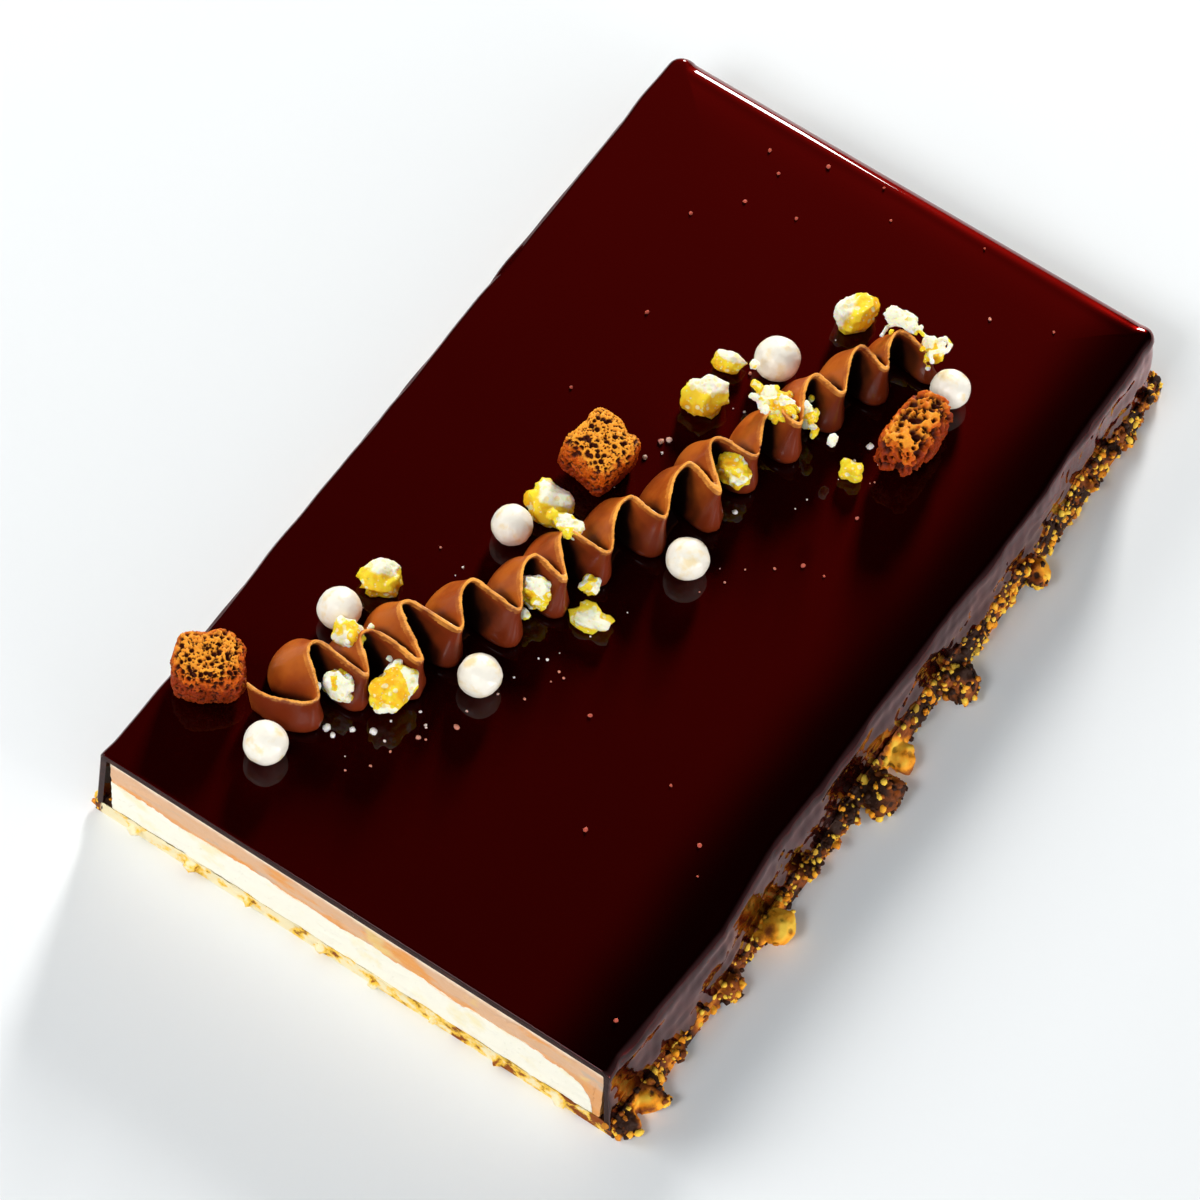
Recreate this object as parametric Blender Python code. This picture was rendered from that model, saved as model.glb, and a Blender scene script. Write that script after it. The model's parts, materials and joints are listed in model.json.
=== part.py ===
"""Mini chocolate cake: a glazed mousse slab cut clean at its near short side, with a piped ruffle on top.

The frame has its origin at the centre of the slab's underside, +X along the short side, +Y along
the long side away from the cut face, and +Z up. Lengths are in metres.
"""

import math
import random

import bmesh
import bpy
from mathutils import Matrix, Vector, noise
from mathutils.bvhtree import BVHTree

COLLECTION = "mini_chocolate_cake"
GAP = 0.0003
FLAT_ANGLE = math.radians(1)

# Slab. Its width and length are those of the top; the glazed walls lean out to the foot by the draft.
CAKE_WIDTH = 0.080
CAKE_LENGTH = 0.139
CAKE_HEIGHT = 0.0175
WALL_DRAFT = 0.0013
GLAZE_TOP = 0.0012
GLAZE_SIDE = 0.0010
GLAZE_EDGE_RADIUS = 0.0011
GLAZE_CORNER_RADIUS = 0.0030
BISCUIT_HEIGHT = 0.0031
CREAM_TOP = 0.0106
CREAM_SHOULDER = 0.0048
SHOULDER_POINTS = 6
MOUSSE_WRAP = 0.0011
LAYER_WAVE = 0.0003
LAYER_WAVE_LENGTH = 0.021
LAYER_RIPPLE_LENGTH = 0.0087
LAYER_POINTS = 24

# Crumbs pressed round the foot: they climb highest at CRUMB_PEAK, a share of the way along a side.
CRUMB_BAND_WIDTH = 0.0015
CRUMB_BAND_HEIGHT = 0.0036
CRUMB_BAND_RISE = 0.0042
CRUMB_PEAK = 0.70
CRUMB_PEAK_SPREAD = 0.20
CRUMB_RIPPLE = 0.011
CRUMB_RIPPLE_HEIGHT = 0.0012
CRUMB_WOBBLE = 0.45
CRUMB_WOBBLE_LENGTH = 0.007
CRUMB_BAND_STOPS = 40
# Section of the band: reach from the glazed foot and height, as shares of the band's own.
BAND_SECTION = ((-1.0, 0.0), (0.9, 0.0), (1.0, 0.30), (0.7, 0.75), (-0.1, 1.0), (-1.0, 0.9))
CRUMB_SPACING = 0.0056
CRUMB_SIZES = (0.0022, 0.0035)
CRUMB_REACH = (0.30, 1.00)
CRUMB_LIFT = (0.25, 0.85)
CRUMB_STEP = (0.75, 1.25)
CRUMB_UNEVENNESS = (0.80, 1.20)
FRONT_CRUMB_SPACING = 0.0095
FRONT_CRUMB_SIZES = (0.0016, 0.0026)
FRONT_CRUMB_LIFT = 0.60
CRUMB_SEED = 11
FOOT_LENGTH = 2 * CAKE_LENGTH + CAKE_WIDTH
LUMP_REACH = 0.42
LUMP_LIFT = 0.40
# The larger lumps: distance round the foot from the cut face, and size.
LUMPS = (
    (0.0022, 0.0040),
    (0.0070, 0.0050),
    (0.0262, 0.0042),
    (0.0370, 0.0058),
    (0.0620, 0.0068),
    (0.0685, 0.0052),
    (0.0830, 0.0064),
    (0.1035, 0.0054),
    (0.1560, 0.0050),
    (0.1835, 0.0058),
    (0.2060, 0.0046),
)
# The left side has fewer and finer crumbs, by this share.
LEFT_SHARE = 0.62

# Piped ruffle, along a line that bows towards +X: a station is a place along the line, and an
# offset is a distance to its right.
RIBBON_HEADING = math.radians(68.15)
RIBBON_BOW = 1.5776
RIBBON_DRIFT = -0.0249
# Crest at each turn of the piping bag: station and offset, far side and near side by turns.
TURNS = (
    (-0.0590, -0.0044),
    (-0.0529, 0.0026),
    (-0.0489, -0.0048),
    (-0.0457, 0.0028),
    (-0.0420, -0.0033),
    (-0.0386, 0.0042),
    (-0.0359, -0.0043),
    (-0.0318, 0.0026),
    (-0.0267, -0.0032),
    (-0.0233, 0.0036),
    (-0.0174, -0.0024),
    (-0.0156, 0.0031),
    (-0.0116, -0.0032),
    (-0.0081, 0.0022),
    (-0.0015, -0.0031),
    (0.0007, 0.0025),
    (0.0079, -0.0024),
    (0.0094, 0.0036),
    (0.0134, -0.0033),
    (0.0170, 0.0020),
    (0.0232, -0.0024),
    (0.0247, 0.0020),
    (0.0306, -0.0026),
    (0.0324, 0.0020),
    (0.0385, -0.0020),
    (0.0402, 0.0027),
    (0.0450, -0.0006),
    (0.0472, 0.0048),
)
RIBBON_HEIGHT = 0.0075
HEIGHT_UNEVENNESS = (0.90, 1.08)
END_HEIGHT = 0.60
END_TURNS = 1.4
RIBBON_LEAN = 0.0040
TURN_LEAN = 0.5
FOOT_SPREAD = 1.24
FOOT_SHIFT = -0.0011
START_FLARE = 0.0019
FOOT_RADIUS = 0.0023
STATIONS_A_TURN = 4
ARCH = 1.35
RIBBON_SEED = 4
# Height up the ruffle and half-thickness there, as shares of its height and of FOOT_RADIUS.
TEARDROP = ((0.0, 0.66), (0.08, 0.94), (0.22, 1.0), (0.42, 0.76), (0.70, 0.34), (1.0, 0.13))
LEAN_CURVE = 1.4
TURN_STEP = 0.002

# Toppings: station along the ruffle's line and offset to its right, both measured on the cake.
PEARL_SQUASH = 0.03
PEARLS = (
    ("pearl_1", -0.0614, 0.0027, 0.0060),
    ("pearl_2", -0.0422, -0.0098, 0.0060),
    ("pearl_3", -0.0321, 0.0078, 0.0060),
    ("pearl_4", -0.0156, -0.0098, 0.0057),
    ("pearl_5", 0.0013, 0.0074, 0.0060),
    ("pearl_6", 0.0297, -0.0088, 0.0064),
    ("pearl_7", 0.0471, 0.0088, 0.0056),
)
# name, station, offset, (length, width, height), turn in degrees, tilt in degrees, squareness, seed
HONEYCOMB = (
    ("honeycomb_1", -0.0618, -0.0086, (0.0100, 0.0090, 0.0085), 38.0, 4.0, 3.2, 3),
    ("honeycomb_2", 0.0003, -0.0120, (0.0088, 0.0086, 0.0098), -8.0, 6.0, 4.6, 8),
    ("honeycomb_3", 0.0381, 0.0119, (0.0126, 0.0068, 0.0078), 88.0, 10.0, 4.2, 15),
)
NUGGETS = (
    ("nugget_1", -0.0347, -0.0118, (0.0060, 0.0048, 0.0046), 30.0, 0.0, 2.2, 21),
    ("nugget_2", -0.0090, -0.0104, (0.0064, 0.0052, 0.0046), -15.0, 0.0, 3.0, 22),
    ("nugget_3", 0.0183, -0.0117, (0.0064, 0.0056, 0.0052), 55.0, 0.0, 2.4, 23),
    ("nugget_4", 0.0245, -0.0142, (0.0046, 0.0030, 0.0026), 15.0, 0.0, 2.4, 24),
    ("nugget_5", 0.0437, -0.0082, (0.0064, 0.0050, 0.0046), 70.0, 0.0, 2.4, 25),
    ("nugget_6", 0.0286, 0.0095, (0.0034, 0.0030, 0.0030), 0.0, 0.0, 2.4, 26),
    ("nugget_7", -0.0143, 0.0070, (0.0052, 0.0034, 0.0029), 10.0, 0.0, 2.6, 28),
)
# Grid cuts of a lump's cube, roughness as a share of its size, and number of pits
HONEYCOMB_FORM = (5, 0.14, 6)
NUGGET_FORM = (3, 0.45, 5)
FLAKE_FORM = (1, 0.16, 0)
FLAKE_SQUARENESS = 2.4
PIT_DEPTH = 0.09
PIT_WIDTHS = (0.16, 0.30)
ROUGHNESS_FREQUENCY = 1.7
REST_FLAT = 0.82
# A topping slides away from the ruffle by this at a time until it is clear.
SLIDE = 0.0002
MOST_SLIDES = 60
# Flakes lodged in the ruffle's folds: station, offset, height above the cake, size, seed
FLAKES = (
    (-0.0434, 0.0050, 0.0046, (0.0050, 0.0076, 0.0042), 27),
    (-0.0490, 0.0014, 0.0042, (0.0044, 0.0034, 0.0046), 41),
    (-0.0440, -0.0048, 0.0050, (0.0048, 0.0036, 0.0034), 42),
    (-0.0192, 0.0012, 0.0042, (0.0046, 0.0036, 0.0050), 43),
    (-0.0120, 0.0036, 0.0030, (0.0026, 0.0024, 0.0034), 44),
    (0.0138, 0.0008, 0.0044, (0.0050, 0.0038, 0.0040), 45),
    (0.0240, -0.0030, 0.0062, (0.0072, 0.0050, 0.0034), 46),
    (0.0268, 0.0004, 0.0050, (0.0040, 0.0034, 0.0040), 47),
    (0.0462, -0.0016, 0.0068, (0.0060, 0.0030, 0.0024), 48),
    (0.0482, 0.0040, 0.0042, (0.0036, 0.0026, 0.0044), 49),
    (-0.0104, -0.0042, 0.0062, (0.0038, 0.0026, 0.0022), 50),
)

# Finishes: colour, roughness and clear coat.
BISCUIT = ((0.55, 0.24, 0.05), 0.80, 0.0)
CREAM = ((0.90, 0.82, 0.66), 0.50, 0.0)
MOUSSE = ((0.72, 0.44, 0.27), 0.50, 0.0)
GLAZE = ((0.045, 0.004, 0.003), 0.08, 1.0)
GANACHE = ((0.21, 0.06, 0.02), 0.30, 0.0)
PEARL_WHITE = ((0.92, 0.87, 0.76), 0.35, 0.0)
HONEYCOMB_GOLD = ((0.50, 0.20, 0.03), 0.60, 0.0)
NUGGET_YELLOW = ((0.80, 0.52, 0.07), 0.55, 0.0)
# A smooth surface keeps an edge where its faces meet more sharply than this.
SHARP_ANGLE = math.radians(50)


def material(name, finish):
    """A named Principled material."""
    colour, roughness, coat = finish
    made = bpy.data.materials.new(name)
    made.use_nodes = True
    made.diffuse_color = (*colour, 1.0)
    shader = made.node_tree.nodes["Principled BSDF"]
    shader.inputs["Base Color"].default_value = (*colour, 1.0)
    shader.inputs["Roughness"].default_value = roughness
    shader.inputs["Metallic"].default_value = 0.0
    shader.inputs["Coat Weight"].default_value = coat
    return made


def object_from(bm, name, collection, finish=None, smooth=False):
    """Turn a bmesh into a named object of the collection, with its faces pointing out."""
    bmesh.ops.recalc_face_normals(bm, faces=bm.faces)
    if bm.calc_volume(signed=True) < 0:
        bmesh.ops.reverse_faces(bm, faces=bm.faces)
    mesh = bpy.data.meshes.new(name)
    bm.to_mesh(mesh)
    bm.free()
    if smooth:
        mesh.shade_smooth()
    if finish is not None:
        mesh.materials.append(finish)
    made = bpy.data.objects.new(name, mesh)
    collection.objects.link(made)
    return made


def cutter(bm, name, collection):
    """A cutting body, drawn as wire and left out of renders."""
    made = object_from(bm, name, collection)
    made.hide_render = True
    made.display_type = "WIRE"
    return made


def box(low, high):
    """A bmesh box between two corners."""
    bm = bmesh.new()
    bmesh.ops.create_cube(bm, size=1.0)
    size = Vector(high) - Vector(low)
    middle = (Vector(high) + Vector(low)) / 2
    bmesh.ops.scale(bm, vec=size, verts=bm.verts)
    bmesh.ops.translate(bm, vec=middle, verts=bm.verts)
    return bm


def boolean(target, operation, other):
    """Add a Boolean that takes an object or a whole collection."""
    modifier = target.modifiers.new(operation.lower(), "BOOLEAN")
    modifier.operation = operation
    modifier.solver = "EXACT"
    if isinstance(other, bpy.types.Collection):
        modifier.operand_type = "COLLECTION"
        modifier.collection = other
        modifier.use_self = True
    else:
        modifier.object = other


def apply_modifiers(target):
    """Put the evaluated mesh in place of the object's own, and drop the modifiers."""
    bpy.context.view_layer.update()
    evaluated = target.evaluated_get(bpy.context.evaluated_depsgraph_get())
    mesh = bpy.data.meshes.new_from_object(evaluated)
    target.modifiers.clear()
    target.data = mesh


def keep_largest_body(target):
    """Fill sealed hollows and drop loose scraps: only the largest connected surface stays."""
    bm = bmesh.new()
    bm.from_mesh(target.data)
    bmesh.ops.triangulate(bm, faces=bm.faces)
    left = set(bm.faces)
    shells = []
    while left:
        front = [left.pop()]
        shell = set(front)
        while front:
            face = front.pop()
            for edge in face.edges:
                if len(edge.link_faces) != 2:
                    continue
                for other in edge.link_faces:
                    if other in left:
                        left.discard(other)
                        shell.add(other)
                        front.append(other)
        shells.append(shell)
    shells.sort(key=len, reverse=True)
    spare = [face for shell in shells[1:] for face in shell]
    bmesh.ops.delete(bm, geom=spare, context="FACES")
    bmesh.ops.dissolve_limit(bm, angle_limit=FLAT_ANGLE, verts=bm.verts, edges=bm.edges)
    bmesh.ops.triangulate(bm, faces=bm.faces)
    bm.to_mesh(target.data)
    bm.free()


def fuse(target, pieces):
    """Join a collection's objects to the target with one Boolean union, then remove them."""
    boolean(target, "UNION", pieces)
    apply_modifiers(target)
    for piece in list(pieces.objects):
        bpy.data.objects.remove(piece, do_unlink=True)
    bpy.data.collections.remove(pieces)
    keep_largest_body(target)


def new_collection(name, parent):
    """A named collection under another."""
    made = bpy.data.collections.new(name)
    parent.children.link(made)
    return made


# ---- Layers of the slab ------------------------------------------------------------------


def wall(height):
    """Half-width of the glazed slab at a height above the table."""
    return CAKE_WIDTH / 2 + WALL_DRAFT * (1 - height / CAKE_HEIGHT)


def slab_block(grow, low, high, near):
    """A bmesh block that follows the slab's leaning walls, moved out by grow; its near face is upright."""
    bm = box((-1.0, near, low), (1.0, 1.0, high))
    for vert in bm.verts:
        reach = wall(vert.co.z) + grow
        vert.co.x *= reach
        if vert.co.y > 0:
            vert.co.y = reach + (CAKE_LENGTH - CAKE_WIDTH) / 2
    return bm


def layer_line(x):
    """Height of the join between cream and mousse, which waves a little across the slab."""
    wave = math.sin(2 * math.pi * x / LAYER_WAVE_LENGTH)
    ripple = math.sin(2 * math.pi * x / LAYER_RIPPLE_LENGTH)
    return CREAM_TOP + LAYER_WAVE * (wave + ripple / 2)


def inside(height):
    """Half-width of what the glaze encloses, at a height above the table."""
    return wall(height) - GLAZE_SIDE - GAP


def cream_edge(grow):
    """Upper outline of the cream from left to right, with its rounded right shoulder, moved out by grow."""
    left = -inside(CREAM_TOP)
    right = inside(CAKE_HEIGHT) - MOUSSE_WRAP + grow
    flat_end = right - CREAM_SHOULDER
    points = []
    for i in range(LAYER_POINTS + 1):
        x = left + (flat_end - left) * i / LAYER_POINTS
        points.append((x, layer_line(x) + grow))
    top = points[-1][1]
    for i in range(1, SHOULDER_POINTS + 1):
        angle = math.radians(90 * (1 - i / SHOULDER_POINTS))
        x = flat_end + CREAM_SHOULDER * math.cos(angle)
        points.append((x, top - CREAM_SHOULDER * (1 - math.sin(angle))))
    return points


def extrude_outline(outline, near, far):
    """A bmesh prism: an X-Z outline carried along Y."""
    bm = bmesh.new()
    face = bm.faces.new([bm.verts.new((x, near, z)) for x, z in outline])
    grown = bmesh.ops.extrude_face_region(bm, geom=[face])["geom"]
    moved = [item for item in grown if isinstance(item, bmesh.types.BMVert)]
    bmesh.ops.translate(bm, vec=(0.0, far - near, 0.0), verts=moved)
    return bm


def make_layers(collection):
    """The cream and the mousse that covers it, both running the length of the slab."""
    near = -CAKE_LENGTH / 2
    far = CAKE_LENGTH / 2 - GLAZE_SIDE - GAP
    floor = BISCUIT_HEIGHT + GAP
    ceiling = CAKE_HEIGHT - GLAZE_TOP - GAP

    edge = cream_edge(0.0)
    outline = [(-inside(floor), floor), *edge, (edge[-1][0], floor)]
    cream = extrude_outline(outline, near, far)
    object_from(cream, "cream_layer", collection, material("cream", CREAM))

    edge = cream_edge(GAP)
    right = [(edge[-1][0], floor), (inside(floor), floor), (inside(ceiling), ceiling)]
    outline = [*edge, *right, (-inside(ceiling), ceiling)]
    mousse = extrude_outline(outline, near, far)
    object_from(mousse, "mousse_layer", collection, material("mousse", MOUSSE))


def make_glaze(collection, cutters):
    """The glaze: a thin shell over the top, both long sides and the far side, open at the cut."""
    near = -CAKE_LENGTH / 2
    floor = BISCUIT_HEIGHT + GAP
    bm = slab_block(0.0, floor, CAKE_HEIGHT, near)
    far_edges = [edge for edge in bm.edges if min(vert.co.y for vert in edge.verts) > 0]
    corners = [edge for edge in far_edges if edge.verts[0].co.x * edge.verts[1].co.x > 0]
    bmesh.ops.bevel(
        bm, geom=corners, offset=GLAZE_CORNER_RADIUS, segments=5, profile=0.5, affect="EDGES"
    )
    rims = [
        edge
        for edge in bm.edges
        if min(vert.co.z for vert in edge.verts) > CAKE_HEIGHT - GAP
        and max(vert.co.y for vert in edge.verts) > near + GAP
    ]
    bmesh.ops.bevel(
        bm, geom=rims, offset=GLAZE_EDGE_RADIUS, segments=4, profile=0.5, affect="EDGES"
    )
    glaze = object_from(bm, "glaze", collection, material("glaze", GLAZE))
    inner = slab_block(-GLAZE_SIDE, -CAKE_HEIGHT, CAKE_HEIGHT - GLAZE_TOP, -CAKE_LENGTH)
    boolean(glaze, "DIFFERENCE", cutter(inner, "glaze_inside", cutters))


# ---- Biscuit base and its crumbs ---------------------------------------------------------


def foot_point(distance):
    """Point and outward direction at a distance round the glazed foot: right, far, then left side."""
    half_width = wall(0.0)
    half_length = CAKE_LENGTH / 2
    if distance < CAKE_LENGTH:
        return Vector((half_width, distance - half_length, 0.0)), Vector((1.0, 0.0, 0.0))
    distance -= CAKE_LENGTH
    if distance < CAKE_WIDTH:
        share = 1 - 2 * distance / CAKE_WIDTH
        return Vector((half_width * share, half_length + WALL_DRAFT, 0.0)), Vector((0.0, 1.0, 0.0))
    distance -= CAKE_WIDTH
    return Vector((-half_width, half_length - distance, 0.0)), Vector((-1.0, 0.0, 0.0))


def share_at(distance):
    """How thick the crumbs lie at a distance round the foot."""
    return LEFT_SHARE if distance > CAKE_LENGTH + CAKE_WIDTH else 1.0


def band_height(distance):
    """How high the crumbs climb the glaze: low near the cut, highest past the middle of a side."""
    share = (distance % CAKE_LENGTH) / CAKE_LENGTH
    swell = math.exp(-(((share - CRUMB_PEAK) / CRUMB_PEAK_SPREAD) ** 2))
    ripple = noise.noise(Vector((distance / CRUMB_RIPPLE, 0.5, 0.5)))
    height = CRUMB_BAND_HEIGHT + CRUMB_BAND_RISE * swell + CRUMB_RIPPLE_HEIGHT * ripple
    return height * share_at(distance)


def crumb(size, rng):
    """A bmesh grain: an uneven faceted ball."""
    bm = bmesh.new()
    bmesh.ops.create_icosphere(bm, subdivisions=1, radius=size / 2)
    for vert in bm.verts:
        vert.co *= rng.uniform(*CRUMB_UNEVENNESS)
    bmesh.ops.rotate(bm, verts=bm.verts, matrix=Matrix.Rotation(rng.uniform(0, 6.2), 3, "Z"))
    return bm


def crumb_band():
    """A bmesh strip round the foot, the crumbs' core: one section every few millimetres."""
    bm = bmesh.new()
    sections = []
    for i in range(CRUMB_BAND_STOPS + 1):
        distance = FOOT_LENGTH * i / CRUMB_BAND_STOPS
        distance = min(max(distance, GAP), FOOT_LENGTH - GAP)
        point, out = foot_point(distance)
        height = band_height(distance)
        wobble = CRUMB_WOBBLE * noise.noise(Vector((distance / CRUMB_WOBBLE_LENGTH, 3.1, 0.2)))
        reach = CRUMB_BAND_WIDTH * (1 + wobble) * share_at(distance)
        section = []
        for share, rise in BAND_SECTION:
            section.append(bm.verts.new(point + out * share * reach + Vector((0, 0, rise * height))))
        sections.append(section)
    for first, second in zip(sections, sections[1:]):
        for j, vert in enumerate(first):
            k = (j + 1) % len(first)
            bm.faces.new((vert, first[k], second[k], second[j]))
    bm.faces.new(sections[0])
    bm.faces.new(sections[-1])
    return bm


def add_crumb(pieces, size, place, rng):
    """One more grain in the collection of pieces."""
    bm = crumb(size, rng)
    bmesh.ops.translate(bm, vec=place, verts=bm.verts)
    object_from(bm, f"crumb_{len(pieces.objects)}", pieces)


def scatter_crumbs(pieces):
    """Lumps and grains along the foot, and small grains under the cut face."""
    rng = random.Random(CRUMB_SEED)
    for distance, size in LUMPS:
        point, out = foot_point(distance)
        place = point + out * LUMP_REACH * size + Vector((0, 0, LUMP_LIFT * size))
        add_crumb(pieces, size, place, rng)

    distance = CRUMB_SPACING / 2
    while distance < FOOT_LENGTH - CRUMB_SPACING / 2:
        point, out = foot_point(distance)
        reach = CRUMB_BAND_WIDTH * rng.uniform(*CRUMB_REACH) * share_at(distance)
        lift = band_height(distance) * rng.uniform(*CRUMB_LIFT)
        place = point + out * reach + Vector((0, 0, lift))
        add_crumb(pieces, rng.uniform(*CRUMB_SIZES) * share_at(distance), place, rng)
        distance += CRUMB_SPACING * rng.uniform(*CRUMB_STEP)

    x = FRONT_CRUMB_SPACING / 2 - CAKE_WIDTH / 2
    while x < CAKE_WIDTH / 2:
        size = rng.uniform(*FRONT_CRUMB_SIZES)
        add_crumb(pieces, size, Vector((x, -CAKE_LENGTH / 2, FRONT_CRUMB_LIFT * size)), rng)
        x += FRONT_CRUMB_SPACING * rng.uniform(*CRUMB_STEP)


def make_biscuit(collection, cutters):
    """The biscuit layer, which runs right through, with the crumbs pressed round its foot fused on."""
    slab = slab_block(2 * GAP, 0.0, BISCUIT_HEIGHT, -CAKE_LENGTH / 2)
    biscuit = object_from(slab, "biscuit_base", collection, material("biscuit", BISCUIT))
    pieces = new_collection("crumbs", collection)
    object_from(crumb_band(), "crumb_band", pieces)
    scatter_crumbs(pieces)
    fuse(biscuit, pieces)

    upper = slab_block(GAP, BISCUIT_HEIGHT, 2 * CAKE_HEIGHT, -CAKE_LENGTH)
    boolean(biscuit, "DIFFERENCE", cutter(upper, "slab_space", cutters))
    floor = box((-CAKE_LENGTH, -CAKE_LENGTH, -CAKE_HEIGHT), (CAKE_LENGTH, CAKE_LENGTH, 0.0))
    boolean(biscuit, "DIFFERENCE", cutter(floor, "floor_space", cutters))
    apply_modifiers(biscuit)
    keep_largest_body(biscuit)


# ---- Piped ruffle ------------------------------------------------------------------------


def on_cake(station, offset, height=0.0):
    """World point for a station along the ruffle's line and an offset to its right."""
    along = Vector((math.cos(RIBBON_HEADING), math.sin(RIBBON_HEADING), 0.0))
    aside = Vector((along.y, -along.x, 0.0))
    bow = -RIBBON_BOW * station**2 + RIBBON_DRIFT * station
    return along * station + aside * (bow + offset) + Vector((0, 0, CAKE_HEIGHT + GAP + height))


def outward(offset):
    """Unit vector away from the ruffle's line, on the side that the offset says."""
    along = Vector((math.cos(RIBBON_HEADING), math.sin(RIBBON_HEADING), 0.0))
    return Vector((along.y, -along.x, 0.0)) * math.copysign(1.0, offset)


def eased(values, turn):
    """Value at a place between two turns of the piping bag, blended smoothly."""
    index = min(int(turn), len(values) - 2)
    share = turn - index
    share = share * share * (3 - 2 * share)
    return values[index] * (1 - share) + values[index + 1] * share


def swung(values, turn):
    """Like eased, but wide and round at the far turns, which are the even ones, and tight at the near."""
    index = min(int(turn), len(values) - 2)
    share = turn - index
    if index == 0:
        return values[1] + (values[0] - values[1]) * (1 - share) ** 2
    share = share**ARCH if index % 2 == 0 else 1 - (1 - share) ** ARCH
    return eased(values, index + share)


def flowing(values, turn):
    """Value on a Catmull-Rom curve through the values, one at each turn."""
    index = min(int(turn), len(values) - 2)
    share = turn - index
    first = values[max(index - 1, 0)]
    last = values[min(index + 2, len(values) - 1)]
    low = values[index]
    high = values[index + 1]
    bend = 2 * first - 5 * low + 4 * high - last
    twist = 3 * (low - high) + last - first
    return low + share / 2 * (high - first + share * (bend + share * twist))


class Piping:
    """The swing of the piping bag from turn to turn."""

    def __init__(self):
        rng = random.Random(RIBBON_SEED)
        self.last = len(TURNS) - 1
        self.stations = [station for station, _ in TURNS]
        self.offsets = [offset for _, offset in TURNS]
        self.heights = [rng.uniform(*HEIGHT_UNEVENNESS) for _ in TURNS]

    def at(self, turn):
        """Foot station and offset, crest station and offset, and height at a place in turns."""
        end = min(1.0, turn / END_TURNS, (self.last - turn) / END_TURNS)
        height = RIBBON_HEIGHT * eased(self.heights, turn) * (END_HEIGHT + (1 - END_HEIGHT) * end)
        crest = flowing(self.stations, turn)
        offset = swung(self.offsets, turn)
        stroke = (1 - math.cos(2 * math.pi * turn)) / 2
        lean = RIBBON_LEAN * (TURN_LEAN + (1 - TURN_LEAN) * stroke) * end
        spread = START_FLARE * (1 - end) ** 3 if turn < END_TURNS else 0.0
        spread += (FOOT_SHIFT + (FOOT_SPREAD - 1) * offset) * end
        return crest - lean, offset + spread, crest, offset, height

    def section(self, turn):
        """Points round the teardrop section: up its left side and down its right."""
        foot, foot_offset, crest, crest_offset, height = self.at(turn)
        before = self.at(max(0.0, turn - TURN_STEP))
        after = self.at(min(self.last, turn + TURN_STEP))
        travel = on_cake(after[0], after[1]) - on_cake(before[0], before[1])
        travel.normalize()
        across = Vector((travel.y, -travel.x, 0.0))
        low = on_cake(foot, foot_offset)
        top = on_cake(crest, crest_offset)
        left = []
        right = []
        for rise, thickness in TEARDROP:
            middle = low.lerp(top, rise**LEAN_CURVE)
            middle.z = low.z + height * rise
            left.append(middle - across * FOOT_RADIUS * thickness)
            right.append(middle + across * FOOT_RADIUS * thickness)
        return left + right[::-1]


def make_ribbon(collection):
    """The ruffle: its teardrop section swept along the swinging line, with flakes lodged in it."""
    piping = Piping()
    bm = bmesh.new()
    # One more keeps the edges of crossing strokes from meeting exactly, which a union can't resolve.
    count = piping.last * STATIONS_A_TURN + 1
    sections = []
    for i in range(count + 1):
        section = piping.section(piping.last * i / count)
        sections.append([bm.verts.new(point) for point in section])
    for first, second in zip(sections, sections[1:]):
        for j, vert in enumerate(first):
            k = (j + 1) % len(first)
            bm.faces.new((vert, first[k], second[k], second[j]))
    bm.faces.new(sections[0])
    bm.faces.new(sections[-1])
    ribbon = object_from(bm, "ganache_ribbon", collection, material("ganache", GANACHE))
    pieces = new_collection("flakes", collection)
    for station, offset, height, size, seed in FLAKES:
        flake = rough_block(size, FLAKE_SQUARENESS, seed, *FLAKE_FORM)
        bmesh.ops.translate(flake, vec=on_cake(station, offset, height), verts=flake.verts)
        object_from(flake, f"flake_{seed}", pieces)
    fuse(ribbon, pieces)
    ribbon.data.shade_smooth()
    ribbon.data.set_sharp_from_angle(angle=SHARP_ANGLE)
    return ribbon


# ---- Toppings ----------------------------------------------------------------------------


def rough_block(size, squareness, seed, cuts, roughness, pores):
    """A bmesh lump from a gridded cube, rounded, roughened and pitted; its underside is flat."""
    bm = bmesh.new()
    bmesh.ops.create_cube(bm, size=2.0)
    bmesh.ops.subdivide_edges(bm, edges=bm.edges, cuts=cuts, use_grid_fill=True)
    rng = random.Random(seed)
    shift = Vector((rng.uniform(0, 9), rng.uniform(0, 9), rng.uniform(0, 9)))
    pits = []
    for _ in range(pores):
        pit = Vector((rng.gauss(0, 1), rng.gauss(0, 1), rng.gauss(0.2, 1))).normalized()
        pits.append((pit, rng.uniform(*PIT_WIDTHS)))
    half = Vector(size) / 2
    for vert in bm.verts:
        way = vert.co.normalized()
        reach = sum(abs(part) ** squareness for part in way) ** (-1 / squareness)
        reach *= 1 + roughness * noise.noise(way * ROUGHNESS_FREQUENCY + shift)
        for pit, width in pits:
            reach -= PIT_DEPTH * math.exp(-((way - pit).length / width) ** 2)
        vert.co = way * reach
        vert.co.z = max(vert.co.z, -REST_FLAT)
        vert.co = Vector(part * scale for part, scale in zip(vert.co, half))
    return bm


def stand(piece, place, obstacles, way):
    """Put a piece on the cake, sliding it along a direction until it clears what is already there."""
    lowest = min(vert.co.z for vert in piece.data.vertices)
    spot = Vector(place)
    spot.z -= lowest
    for _ in range(MOST_SLIDES):
        placed = [vert.co + spot for vert in piece.data.vertices]
        faces = [tuple(face.vertices) for face in piece.data.polygons]
        tree = BVHTree.FromPolygons(placed, faces)
        crossed = any(tree.overlap(other) for other in obstacles)
        near = any(
            other.find_nearest(point, GAP)[0] is not None for other in obstacles for point in placed
        )
        if not crossed and not near:
            break
        spot += way * SLIDE
    piece.location = spot
    obstacles.append(tree)


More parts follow.
